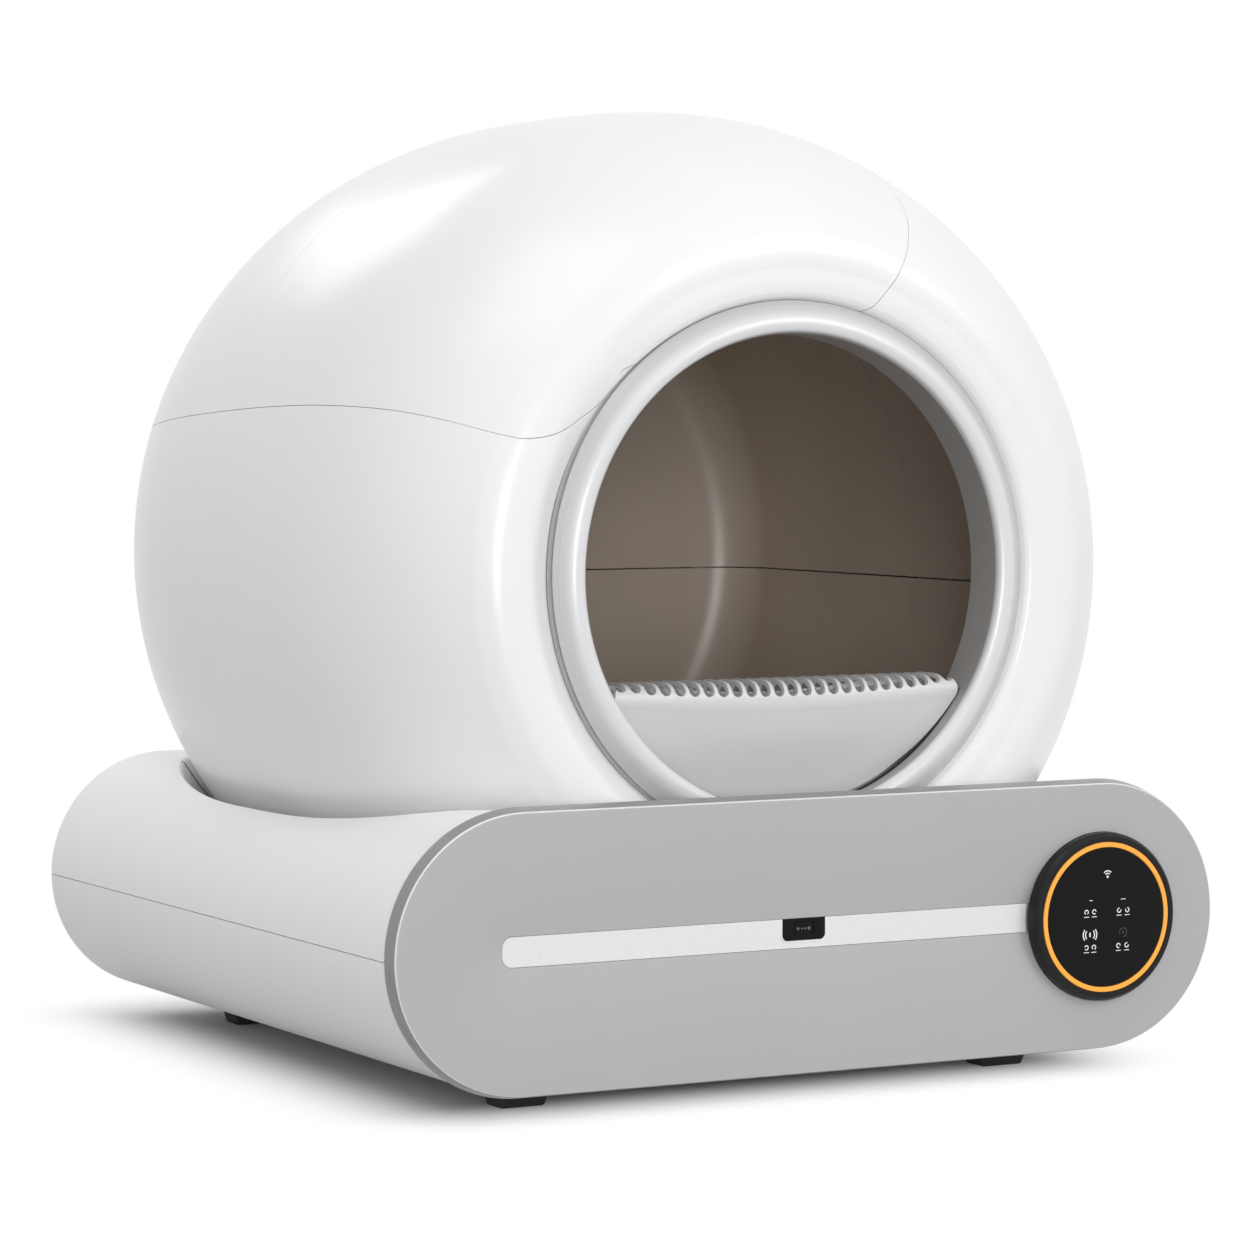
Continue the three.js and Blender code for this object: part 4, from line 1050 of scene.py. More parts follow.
@dataclass
class Base:
    """The capsule-shaped base with the well for the globe."""

    width: float = 540.0
    height: float = 154.1
    front: float = 5.4
    back: float = 520.8
    wall: float = 3.0
    well_gap: float = 10.5
    well_forward: float = 6.5
    well_round: float = 2.2
    well_wall: float = 3.0
    well_middle: float = 282.0
    rim_slices: tuple[float, float, int] = (22.0, 0.8, 72)
    well_bottom: float = 19.2
    cradle_bottom: float = 14.5
    cradle_reach: float = 8.0
    cradle_play: float = 0.2
    parting: float = 0.5
    back_round: float = 5.0
    back_wall: Point2 = (510.0, 530.0)
    drawer_half: float = 160.5
    drawer_rises: Point2 = (-74.05, -22.1)
    inlet_x: float = -215.0
    inlet_rise: float = 20.0
    inlet_size: Point2 = (16.0, 13.0)

    def capsule(self) -> Form:
        """The outside of the base, its back rim rounded."""
        form = Form.prism(stadium(self.width, self.height, 48), self.front, self.back)
        rear = spot(0, self.back, 0).y
        form.bevelled(
            self.back_round, 6, lambda e: all(abs(v.co.y - rear) < 1e-5 for v in e.verts)
        )
        return form

    def hollow(self) -> Form:
        """The space inside the wall."""
        inner = stadium(self.width - 2 * self.wall, self.height - 2 * self.wall, 48)
        return Form.prism(inner, self.front + self.wall, self.back - self.wall)

    def layer(self, low: float, high: float) -> Form:
        """A wide slab between two heights over the middle of the base."""
        return Form.block((-320, 320), (-60, 600), (MID_Z + low, MID_Z + high))

    def moved(self, place: Vector) -> Vector:
        """Moves the well a little towards the panel."""
        return place + Vector((0, -self.well_forward * MM, 0))

    def opened(self, place: Vector) -> Vector:
        """Widens the well's cutter round the rim, which rounds that edge, and moves it.

        Args:
            place: a point of the cutter.

        Returns:
            Where that point comes to lie.
        """
        beyond = max(0.0, abs(place.x / MM) - (self.width - self.height) / 2)
        top = MID_Z + math.sqrt(max(0.0, (self.height / 2) ** 2 - beyond**2))
        climb = min(1.0, max(0.0, (place.z / MM - top) / self.well_round + 1))
        out = self.well_round * (1 - math.sqrt(1 - climb**2))
        across = Vector((place.x, place.y - spot(0, self.well_middle, 0).y, 0))
        return self.moved(place) + across.normalized() * out * MM

    def upper(self, globe: Globe) -> Form:
        """The upper shell, with its well.

        Args:
            globe: what stands in the well.

        Returns:
            The shell.
        """
        half = self.parting / 2
        shell = self.capsule().within(self.layer(half, 120))
        well = globe.grown(self.well_gap).within(self.layer(10, 100))
        first, step, count = self.rim_slices
        well.sliced(2, [(MID_Z + first + step * i) * MM for i in range(count)])
        shell.without(well.shaped(self.opened))
        bowl = globe.grown(self.well_gap + self.well_wall)
        bowl.within(self.layer(self.well_bottom, 120)).shaped(self.moved)
        shell.without(self.hollow().within(self.layer(half - 1, 120)).without(bowl))
        x, z, (w, h) = self.inlet_x, MID_Z + self.inlet_rise, self.inlet_size
        inlet = Form.block((x - w / 2, x + w / 2), self.back_wall, (z - h / 2, z + h / 2))
        return shell.without(inlet, disc_hole())

    def cradle(self, globe: Globe) -> Form:
        """A black ring under the well's wall, on which the globe stands; its black is painted shade
        in the gap.

        Args:
            globe: what stands on it.

        Returns:
            The ring.
        """
        ring = globe.grown(self.well_gap + self.well_wall - self.cradle_play, 128)
        ring.within(self.layer(self.cradle_bottom, self.well_bottom))
        return ring.without(globe.grown(-self.cradle_reach, 128).within(self.layer(10, 120)))

    def lower(self) -> Form:
        """The lower shell, open at the back for the drawer."""
        half = self.parting / 2
        shell = self.capsule().within(self.layer(-120, -half))
        shell.without(self.hollow().within(self.layer(-120, half + 1)), disc_hole())
        low, high = self.drawer_rises
        across = (-self.drawer_half, self.drawer_half)
        return shell.without(Form.block(across, self.back_wall, (MID_Z + low, MID_Z + high)))

    def build(self, globe: Globe) -> None:
        """Makes both shells and the cradle, round the globe."""
        for name, form in (("upper", self.upper(globe)), ("lower", self.lower())):
            solids = (f"base_{name}_shell",)
            Piece(f"base_{name}", "base", BASE_WHITE, solids, level=True).made(form)
        # The cradle holds the globe, and its black is painted shade at the bottom of the well's
        # gap.
        Piece("globe_cradle", "base", BLACK).made(self.cradle(globe))


# Front panel --------------------------------------------------------------------------------------


@dataclass
class FrontPanel:
    """The silver panel with its light strip and sensor window."""

    width: float = 539.4
    height: float = 156.0
    middle: Point2 = (1.1, 0.9)
    flare: tuple[Point2, ...] = (
        (-0.6, 0.0), (-0.3, 0.06), (0.0, 0.28), (0.3, 0.75), (0.65, 1.6), (1.05, 2.8), (1.4, 4.2),
        (1.8, 5.9), (2.15, 7.7), (2.4, 9.0), (2.45, 9.5), (2.3, 9.9),
    )
    face_depth: float = 3.0
    thickness: float = 5.1
    skirt_depth: float = 1.0
    # Width of the pale pearl line round the panel's front rim, a painted highlight.
    highlight_line: float = 0.25
    skirt_reach: float = 1.5
    base_room: Point2 = (540.4, 154.5)
    gap: float = 0.3
    strip_left: float = -202.6
    strip_right: float = 165.0
    strip_low: float = -6.3
    strip_high: float = 10.5
    strip_depth: float = 0.9
    trough: float = 3.8
    trough_reach: float = 62.0
    trough_right: float = 138.0
    disc_pocket: Point2 = (50.1, 2.6)
    strip_corner: float = 6.0
    window_x: float = -10.65
    window_size: Point2 = (27.9, 12.4)
    window_corner: float = 3.2
    trim_width: float = 0.85
    trim_gap: float = 0.05
    lens_size: Point2 = (13.3, 7.2)
    lens_corner: float = 2.2
    lens_drop: float = 5.7
    eye_drop: float = 5.9
    eye_round: float = 0.45
    eyes: tuple[Point2, ...] = ((-3.6, 1.0), (-1.0, 0.7), (1.0, 0.7), (3.6, 1.1))

    def sunk(self, place: Vector) -> Vector:
        """The face sinks towards the light strip in a wide shallow trough.

        Args:
            place: a point of the flat panel, or of what lies in its face.

        Returns:
            Where that point comes to lie.
        """
        x, depth, z = place.x / MM, place.y / MM - FACE_Y, place.z / MM - MID_Z
        if depth > self.face_depth:
            return place
        half = (self.strip_high - self.strip_low) / 2
        nearest = min(max(x, self.strip_left + half), self.trough_right)
        away = math.hypot(x - nearest, z - (self.strip_low + half)) - half
        share = max(0.0, 1 - max(0.0, away) / self.trough_reach)
        return place + Vector((0, self.trough * share**2 * MM, 0))

    def ruled(self, form: Form) -> Form:
        """Rules a face finely and sinks it with the trough."""
        xs = [v * MM for v in range(-268, 269, 8)]
        zs = [(MID_Z + v) * MM for v in range(-75, 76, 5)]
        return form.sliced(0, xs).sliced(2, zs).shaped(self.sunk)

    def strip_outline(self, grow: float = 0.0) -> list[Point2]:
        """Outline of the light strip, larger by a distance."""
        corner = self.strip_corner + grow
        left, right = self.strip_left - grow, self.strip_right + grow
        low, high = self.strip_low - grow, self.strip_high + grow
        ends = [(left, low, corner), (right, low, 0), (right, high, 0), (left, high, corner)]
        return rounded(ends)

    def window_outline(self, grow: float = 0.0) -> list[Point2]:
        """Outline of the sensor window, larger by a distance."""
        half, corner = self.window_size[0] / 2 + grow, self.window_corner + grow
        low, high = self.strip_high - self.window_size[1] - grow, self.strip_high + grow
        left, right = self.window_x - half, self.window_x + half
        ends = [(left, low, corner), (right, low, corner), (right, high, 0.4), (left, high, 0.4)]
        return rounded(ends)

    def lens_outline(self, grow: float = 0.0) -> list[Point2]:
        """Outline of the lens, larger by a distance."""
        w, h = self.lens_size[0] / 2 + grow, self.lens_size[1] / 2 + grow
        x, z = self.window_x, self.strip_high - self.lens_drop
        around = ((-w, -h), (w, -h), (w, h), (-w, h))
        return rounded([(x + u, z + v, self.lens_corner) for u, v in around])

    def outline(self, grow: float) -> list[Point2]:
        """Outline of the panel, larger by a distance."""
        x, z = self.middle
        grown = stadium(self.width + 2 * grow, self.height + 2 * grow, 56)
        return [(x + u, z + v) for u, v in grown]

    def rim(self, reach: float, front: float, back: float) -> Form:
        """The space round the panel's outline between two depths.

        Args:
            reach: how far it reaches in over the panel.
            front: the nearer depth.
            back: the farther depth.

        Returns:
            The space as a form that cuts the panel.
        """
        return Form.prism(self.outline(20), front, back).without(
            Form.prism(self.outline(-reach), -10, 40)
        )

    def plate(self) -> Form:
        """The panel, flared from its face to its flat side."""
        form = Form.lofted([(self.outline(grow), depth) for grow, depth in self.flare])
        form.without(
            Form.prism(stadium(*self.base_room, 56), self.thickness, 20),
            Form.prism(self.strip_outline(self.gap), -10, self.strip_depth + 0.1),
        )
        radius, deep = self.disc_pocket
        pocket = Form.rod(radius, -10, deep, DISC_X, MID_Z + DISC_RISE, steps=128)
        return self.ruled(form).without(pocket, disc_hole())

    def strip(self) -> Form:
        """The light strip, cut out round the window and the control disc."""
        form = Form.prism(self.strip_outline(), 0, self.strip_depth)
        room = self.gap + self.trim_width + self.trim_gap
        form.without(
            Form.prism(self.window_outline(room), -5, 10),
            Form.rod(self.disc_pocket[0], -10, 10, DISC_X, MID_Z + DISC_RISE),
        )
        return self.ruled(form.bevelled(0.25, 2))

    def trim(self) -> Form:
        """The raised trim under the window and at its sides, whiter than the strip as a painted
        highlight.
        """
        outer = self.window_outline(self.gap + self.trim_width)
        form = Form.prism(outer, -0.3, self.strip_depth).without(
            Form.prism(self.window_outline(self.gap), -5, 10),
            Form.block((-100, 100), (-5, 20), (MID_Z + self.strip_high, 300)),
        )
        return form.bevelled(0.2, 2).shaped(self.sunk)

    def window(self) -> Form:
        """The window with its hollow for the lens."""
        form = Form.prism(self.window_outline(), -0.1, self.strip_depth)
        form.without(Form.prism(self.lens_outline(0.3), -5, 0.7))
        return form.bevelled(0.3, 2).shaped(self.sunk)

    def both_eyes(self) -> Form:
        """The sensor's small round eyes behind the lens, pale bluish grey as painted glints."""
        z = MID_Z + self.strip_high - self.eye_drop
        first, *others = [
            Form.rod(radius, -0.1, 0.4, self.window_x + x, z, edge=self.eye_round, steps=32)
            for x, radius in self.eyes
        ]
        return first.beside(*others).shaped(self.sunk)

    def build(self) -> None:
        """Makes the panel, its skirt in painted shade, its rim in painted highlight, strip, window
        and lens.
        """
        plate = self.plate()
        skirt = self.rim(self.skirt_reach, self.skirt_depth, 30)
        edge = self.rim(self.highlight_line, -5, self.skirt_depth)
        # The skirt is the panel's silver painted darker, as painted shade on the panel's side.
        Piece("panel_skirt", "base", SILVER_PAINTED_SHADE, level=True).made(plate.copy().within(skirt))
        # A pale pearl line on the panel's front rim: a painted highlight on the edge.
        Piece("panel_painted_highlight", "base", PEARL).made(plate.copy().within(edge))
        plate.without(skirt, edge)
        Piece("front_panel", "base", SILVER, ("fascia_panel",), level=True).made(plate)
        Piece("light_strip", "base", PEARL, ("light_bar",), level=True).made(self.strip())
        # The trim is raised, and its whiter colour is a painted highlight on the window's edge.
        Piece("window_highlight_trim", "base", GLOBE_WHITE).made(self.trim())
        Piece("sensor_frame", "base", GLASS, ("sensor_window",)).made(self.window())
        lens = Form.prism(self.lens_outline(), 0.25, 0.65).bevelled(0.35).shaped(self.sunk)
        Piece("sensor_glass", "base", GLASS, ("sensor_lens",)).made(lens)
        # The eyes' pale bluish grey is a painted glint.
        Piece("sensor_eyes", "base", EYE_PAINTED_GLINT).made(self.both_eyes())


# Control disc -------------------------------------------------------------------------------------


@dataclass
class ControlDisc:
    """The round control disc: body, light ring, glass and generic printed marks."""

    radius: float = 49.8
    face_radius: float = 48.0
    proud: float = 6.9
    pocket: float = 44.6
    pocket_depth: float = 2.2
    ring_outer: float = 44.3
    ring_inner: float = 41.4
    glass: float = 41.1
    ring_round: float = 0.3
    boss: float = 20.0
    boss_end: float = 12.0
    back: float = 2.3
    print_height: float = 0.05
    print_sink: float = 0.02
    small_marks: tuple[Point2, ...] = (
        (-14.2, 3.6), (-8.7, 3.6), (9.0, 3.6), (14.8, 3.6),
        (-14.2, -17.3), (-8.9, -17.3), (8.6, -17.3), (14.5, -17.3),
    )
    fan: Point2 = (0.6, 23.9)
    waves: Point2 = (-11.7, -9.8)
    faint: Point2 = (11.9, -9.6)

    def turned(self, profile: Sequence[Point2]) -> Form:
        """Spins a profile about the disc's own axis."""
        return Form.turned(profile, 128, DISC_X, MID_Z + DISC_RISE)

    def body(self) -> Form:
        """Body with a rounded rim, a pocket for ring and glass, and a boss behind."""
        front, back, edge = -self.proud, self.back, self.face_radius
        floor = front + self.pocket_depth
        rim = [
            (edge - 0.35, front), (edge - 0.15, front + 0.05), (edge, front + 0.2),
            (edge + 0.15, front + 0.45), (self.radius - 0.45, front + 1.9),
            (self.radius - 0.12, front + 2.4), (self.radius, front + 3.0),
        ]
        profile = [
            (0.0, floor), (self.pocket, floor), (self.pocket, front + 0.25),
            (self.pocket + 0.25, front), *rim, (self.radius, back - 0.6),
            (self.radius - 0.6, back), (self.boss, back), (self.boss, self.boss_end),
            (0.0, self.boss_end),
        ]
        return self.turned(profile)

    def mark(self, outline: Sequence[Point2]) -> Form:
        """A printed mark with this outline, on the glass."""
        there = [(DISC_X + u, DISC_RISE + v) for u, v in outline]
        return Form.prism(there, -self.proud - self.print_height, -self.proud + self.print_sink)

    def arcs(self, centre: Point2, width: float, *arcs: tuple[float, float, float]) -> list[Form]:
        """Printed arcs about one place.

        Args:
            centre: of the arcs, from the disc's centre.
            width: of their lines.
            arcs: each arc's radius, the direction of its middle and half its sweep, in degrees.

        Returns:
            The marks.
        """
        marks = []
        for radius, middle, half in arcs:
            angles = [math.radians(middle - half + 2 * half * i / 14) for i in range(15)]
            outer, inner = (
                [swung(centre, radius + side * width / 2, angle) for angle in angles]
                for side in (1, -1)
            )
            marks.append(self.mark([*outer, *reversed(inner)]))
        return marks

    def dot(self, centre: Point2, radius: float) -> Form:
        """A printed round dot."""
        return self.mark([swung(centre, radius, FULL_TURN * i / 20) for i in range(20)])

    def bar(self, centre: Point2, width: float, height: float) -> Form:
        """A printed bar."""
        x, z, w, h = *centre, width / 2, height / 2
        return self.mark([(x - w, z - h), (x + w, z - h), (x + w, z + h), (x - w, z + h)])

    def marks(self) -> Form:
        """All bright marks: arcs over a dot, open rings with bars below, and facing arcs."""
        form = self.dot(self.fan, 0.75)
        form.beside(*self.arcs(self.fan, 0.7, (2.0, 90, 46), (3.5, 90, 46)))
        for i, (x, z) in enumerate(self.small_marks):
            form.beside(*self.arcs((x, z), 0.6, (1.25, 90 + 70 * i, 150)))
            form.beside(self.bar((x, z - 2.9), 3.6, 0.45))
        for way in (0, 180):
            form.beside(*self.arcs(self.waves, 0.75, (4.8, way, 40), (3.2, way, 44)))
        form.beside(self.bar(self.waves, 1.0, 2.6))
        return form.beside(self.bar((-11.2, 10.4), 2.4, 0.4), self.bar((11.9, 10.2), 3.4, 0.4))

    def faint_marks(self) -> Form:
        """Unlit marks that hardly show."""
        (form,) = self.arcs(self.faint, 0.5, (2.6, 60, 150))
        return form.beside(self.dot(self.faint, 0.6))

    def build(self) -> None:
        """Makes the disc's pieces."""
        Piece("disc_body", "base", BLACK, ("control_disc_body",)).made(self.body())
        low, high, bend = self.ring_inner, self.ring_outer, self.ring_round
        front, back = -self.proud, -self.proud + self.pocket_depth - 0.3
        ring = [
            (low, back), (low, front + bend), (low + bend, front), (high - bend, front),
            (high, front + bend), (high, back),
        ]
        solids = ("control_light_ring",)
        Piece("disc_light_ring", "base", ORANGE, solids).made(self.turned(ring))
        glass = Form.rod(self.glass, front, back, DISC_X, MID_Z + DISC_RISE, 0.35, 128)
        Piece("disc_glass", "base", GLASS, ("control_glass",)).made(glass)
        Piece("disc_marks", "base", PRINT).made(self.marks())
        Piece("disc_faint_marks", "base", FAINT_PRINT).made(self.faint_marks())


# Drum and mouth -----------------------------------------------------------------------------------


@dataclass
class Drum:
    """The taupe drum in four shells, with its waste port."""

    radius: float = 218.0
    wall: float = 3.0
    front: float = 52.3
    back: float = 468.0
    front_shoulder: float = 36.0
    rear_shoulder: float = 38.0
    hole: float = 140.3
    seam_drop: float = 14.0
    seam_depth: float = 245.7
    seam: float = 0.9
    strip_inside: float = 1.4
    pole: float = 70.0
    port_angle: float = 135.0
    port_width: float = 120.0
    port_depths: Point2 = (262.0, 398.0)
    port_corner: float = 6.0

    def wall_of(self, side: float, end: float, shoulder: float, rest: list[Point2]) -> Form:
        """One end of the drum: its side, a round shoulder and its end wall.

        Args:
            side: -1 for the front and 1 for the back.
            end: depth of the end wall's outside.
            shoulder: radius of the rounding between side and end.
            rest: points of the end wall, from the shoulder inwards.

        Returns:
            The wall.
        """
        flat, centre = self.radius - shoulder, end - side * shoulder
        skin = [
            (self.radius, self.seam_depth + side * self.seam / 2),
            *[
                (flat + shoulder * math.cos(a), centre + side * shoulder * math.sin(a))
                for a in quarter(14)
            ],
            *rest,
        ]
        inner = offset(skin, -self.wall * side)
        inner[-1] = (skin[-1][0], inner[-1][1])
        return Form.turned([*skin, *reversed(inner)])

    def port(self) -> Form:
        """The waste port, turned about the drum's axis from its right side."""
        low, high = (AXIS_Z + side * self.port_width / 2 for side in (-1, 1))
        axis = spot(0, 0, AXIS_Z)
        turn = Matrix.Rotation(math.radians(-self.port_angle), 4, "Y")
        turn = Matrix.Translation(axis) @ turn @ Matrix.Translation(-axis)
        form = Form.block((100, 240), self.port_depths, (low, high), self.port_corner)
        return form.shaped(lambda place: turn @ place)

    def build(self) -> None:
        """Makes the strip in the upright seam and the four shells."""
        half, low = self.seam / 2, self.radius - self.strip_inside
        near, far = self.seam_depth - half, self.seam_depth + half
        strip = [(low, near), (self.radius, near), (self.radius, far), (low, far)]
        Piece("drum_seam_strip", "drum", BLACK).made(Form.turned(strip))
        front = self.wall_of(-1, self.front, self.front_shoulder, [(self.hole, self.front)])
        poles = [(self.pole, self.back), (0.0, self.back)]
        rear = self.wall_of(1, self.back, self.rear_shoulder, poles)
        wide, deep, seam_z = (-230.0, 230.0), (0, 540), AXIS_Z - self.seam_drop
        above = Form.block(wide, deep, (seam_z + half, 600))
        below = Form.block(wide, deep, (0, seam_z - half))
        for name, form in (("front", front), ("rear", rear)):
            upper = form.copy().within(above)
            if name == "rear":
                upper.without(self.port())
            for level, shape in (("upper", upper), ("lower", form.within(below))):
                solids = (f"drum_{name}_{level}",)
                Piece(f"lining_{name}_{level}", "drum", TAUPE, solids).made(shape)


@dataclass
class Mouth:
    """The ring round the mouth and the slotted lip across its bottom."""

    inner: float = 136.6
    outer: float = 155.8
    face: tuple[Point2, ...] = (
        (137.0, 30.8), (137.3, 29.4), (138.2, 27.9), (139.7, 26.9), (141.7, 26.3), (143.8, 26.4),
        (145.8, 27.0), (147.6, 28.0), (149.4, 29.2), (151.2, 30.4), (153.0, 31.6),
    )
    edge: tuple[Point2, ...] = (
        (153.2, 31.85), (154.6, 32.8), (155.3, 33.4), (155.7, 34.0), (155.6, 34.6), (155.0, 35.2),
    )
    neck: float = 152.0
    neck_depth: float = 36.6
    flange: float = 50.0
    flange_round: float = 3.0
    inside: Point2 = (0.7, 30.8)
    throat_end: float = 57.5
    throat: float = 3.4
    sleeve_front: Point2 = (31.0, 31.4)
    # Front and back of the black strip of painted shadow round the lip's edge.
    seal_depths: Point2 = (39.2, 42.0)
    lip_front: float = 37.6
    lip_length: float = 36.4
    lip_top: float = -61.8
    lip_height: float = 74.0
    lip_wall: float = 2.2
    lip_radius: float = 135.6
    lip_corner: float = 8.5
    lip_root: float = 46.0
    lip_skin: tuple[Point2, ...] = (
        (0.3, 0.0), (0.25, 0.2), (0.17, 0.42), (0.085, 0.64), (0.025, 0.8), (0.0, 0.855),
    )
    lip_roll: tuple[Point2, ...] = (
        (0.0, 0.855), (-0.005, 0.89), (0.02, 0.93), (0.085, 0.965), (0.2, 0.99), (0.38, 1.0),
        (0.8, 1.0), (1.0, 0.9),
    )
    lip_dip: float = 5.6
    lip_bulge: float = 4.8
    crease: float = 0.855
    bow: Point2 = (118.0, 0.8)
    slots: int = 25
    slot_pitch: float = 9.1
    slot_width: float = 6.8
    slot_depths: Point2 = (20.0, 68.0)
    slot_drop: float = 9.4
    slot_climb: float = 2.3
    slot_end_climb: float = 0.8

    def ring(self) -> Form:
        """The ring, one smooth band with a crease near its outside."""
        (reach, front), wall = self.inside, self.inner + self.throat
        back = [
            (self.neck, self.neck_depth), (self.neck, self.flange - self.flange_round),
            (self.neck - self.flange_round, self.flange), (wall, self.flange), (wall, front),
            (self.inner + reach, front),
        ]
        return Form.turned([*eased(self.face, 4), *self.edge, *back], 256)

    def sleeve(self) -> Form:
        """The grey lining of the mouth, just inside the ring."""
        outer, inner = self.inner + self.throat - 0.2, self.inner + 0.1
        front, bend = self.sleeve_front
        profile = [
            (self.inner + 0.4, front), (inner, bend), (inner, self.throat_end),
            (outer, self.throat_end), (outer, front),
        ]
        return Form.turned(profile, 256)

    def bowed(self, place: Vector) -> Vector:
        """The lip's crease dips and comes forward in the middle.

        Args:
            place: a point of the straight lip.

        Returns:
            Where that point comes to lie.
        """
        x, z = place.x / MM, place.z / MM
        height = (z - AXIS_Z - self.lip_top) / self.lip_height + 1
        half, full = self.bow
        middle = max(0.0, 1 - (x / half) ** 2)
        low = smoothstep(height, 0.0, self.crease) * (1 - smoothstep(height, self.crease, 0.995))
        push = smoothstep(height, 0.0, full)
        return place + Vector((0, -self.lip_bulge * push, -self.lip_dip * low)) * middle * MM

    def lip_outline(self) -> list[Point2]:
        """The lip from the front: a circle's segment with rounded corners, about the axis."""
        corner, radius = self.lip_corner, self.lip_radius
        rise = self.lip_top - corner
        across = math.sqrt((radius - corner) ** 2 - rise**2)
        start = math.atan2(rise, across)
        bends = (math.pi / 2 - (math.pi / 2 - start) * i / 10 for i in range(11))
        right = [swung((across, rise), corner, angle) for angle in bends]
        sweep = -math.pi - 2 * start
        bottom = [swung((0.0, 0.0), radius, start + sweep * i / 90) for i in range(1, 90)]
        return [*right, *bottom, *[(-u, v) for u, v in reversed(right)]]

    def low_part(self) -> Form:
        """The space below the lip's rounded corners."""
        top = AXIS_Z + self.lip_top - self.lip_corner
        return Form.block((-200, 200), (0, 130), (0, top))

    def seal(self) -> Form:
        """A black strip in the gap round the lip's edge: painted shadow where that gap is in shade.
        """
        low, (near, far) = self.lip_radius + 0.1, self.seal_depths
        ring = Form.turned([(low, near), (self.inner, near), (self.inner, far), (low, far)], 256)
        return ring.within(self.low_part())

    def slot(self, number: int) -> Form:
        """What is cut away for one slot.

        Args:
            number: of the slot, from the left.

        Returns:
            The form to be taken away.
        """
        x, half = (number - (self.slots - 1) / 2) * self.slot_pitch, self.slot_width / 2
        climb = self.slot_climb * (x / 80) ** 2 + self.slot_end_climb * smoothstep(abs(x), 88, 101)
        low, left, right = climb - self.slot_drop, x - half, x + half
        ends = [(left, low, half * 0.96), (right, low, half * 0.96), (right, 6, 0), (left, 6, 0)]
        return Form.prism(rounded(ends, 6), *self.slot_depths, z=AXIS_Z + self.lip_top)

    def lip(self) -> Form:
        """The lip: a bent sheet, cut round by the mouth and slotted along its top."""
        low = AXIS_Z + self.lip_top - self.lip_height
        shares = [*eased(self.lip_skin, 6)[:-1], *eased(self.lip_roll, 6)]
        skin = [
            (self.lip_front + self.lip_length * u, low + self.lip_height * v) for u, v in shares
        ]
        back = offset(skin, self.lip_wall)
        back[-1] = (skin[-1][0], back[-1][1])
        sheet = Form.crosswise([*skin, *reversed(back)], -124, 124)
        sheet.sliced(0, [v * MM for v in range(-120, 121, 6)]).shaped(self.bowed)
        limit = Form.prism(self.lip_outline(), 0, 120, z=AXIS_Z)
        root = Form.rod(self.inner - 0.1, self.lip_root, 120, 0, AXIS_Z, steps=256)
        sheet.within(limit.joined(root.within(self.low_part())))
        return sheet.without(*[self.slot(number) for number in range(self.slots)])

    def build(self) -> None:
        """Makes the ring with its sleeve, and the lip with a black strip of painted shadow round
        its edge.
        """
        # The ring's lighter colour on its crest is a painted highlight.
        Piece("mouth_band", "drum", RING_WHITE_PAINTED_HIGHLIGHT, ("mouth_ring",)).made(self.ring())
        Piece("mouth_sleeve", "drum", SLEEVE).made(self.sleeve())
        Piece("comb_lip", "drum", LIP_WHITE, ("slotted_lip",)).made(self.lip())
        # A black strip of painted shadow in the gap round the lip's edge.
        Piece("lip_painted_shadow", "drum", BLACK).made(self.seal())


# Underside and back -------------------------------------------------------------------------------


@dataclass
class Underside:
    """Four rubber feet."""

    places: tuple[tuple[str, float, float], ...] = (
        ("front_left", -159.0, 73.5), ("front_right", 165.0, 73.5),
        ("rear_left", -160.0, 447.0), ("rear_right", 160.0, 447.0),
    )
    top: Point2 = (36.5, 27.0)
    bottom: Point2 = (28.0, 18.5)
    height: float = 17.7
    rounding: float = 1.6

    def foot(self, x: float, depth: float) -> Form:
        """A foot that narrows towards the floor.

        Args:
            x: its middle's place across.
            depth: its middle's depth.

        Returns:
            The foot.
        """
        (w, d), (low_w, low_d) = self.top, self.bottom
        sides = (x - w / 2, x + w / 2), (depth - d / 2, depth + d / 2)
        centre, narrow = spot(x, depth, 0), Vector((low_w / w, low_d / d, 1))

        def taper(place: Vector) -> Vector:
            """Narrows the foot at the floor."""
            return place if place.z > 1e-6 else centre + (place - centre) * narrow

        return Form.block(*sides, (0, self.height)).shaped(taper).bevelled(self.rounding)

    def build(self) -> None:
        """Makes the feet."""
        for name, x, depth in self.places:
            foot = self.foot(x, depth)
            Piece(f"rubber_foot_{name}", "base", RUBBER, (f"foot_{name}",)).made(foot)


class InnerWorks:
    """Dresses the solids that keep their own shape."""

    finishes: dict[str, Finish] = {
        "display_board": BOARD, "main_board": BOARD, "inner_deck": GREY, "power_inlet": BLACK,
        "load_cell": STEEL, "case_screw": STEEL, "gear_motor": STEEL, "motor_mount": GREY,
        "motor_shaft": STEEL, "drive_pinion": NYLON, "roller_axle": STEEL, "roller_bracket": GREY,
        "roller": RUBBER, "ring_gear": NYLON, "sieve_grille": GREY, "waste_drawer": GREY,
        "drawer_front": BASE_WHITE,
    }

    def build(self) -> None:
        """Gives each carried-over solid its material."""
        for name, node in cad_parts.items():
            kinds = [kind for kind in self.finishes if name.startswith(kind)]
            if kinds and not node.hide_render:
                node.data.materials.clear()
                node.data.materials.append(self.finishes[kinds[0]].material())


# Studio -------------------------------------------------------------------------------------------


@dataclass(frozen=True)
class Lamp:
    """A soft square lamp that looks at the object's middle.

    Fields:
        name: the lamp's name.
        azimuth: its direction to the right of the front, in degrees.
        elevation: its direction upwards, in degrees.
        distance: from the object's middle, in metres.
        size: its width and height, in metres.
        power: in watts.
    """

    name: str
    azimuth: float
    elevation: float
    distance: float
    size: Point2
    power: float


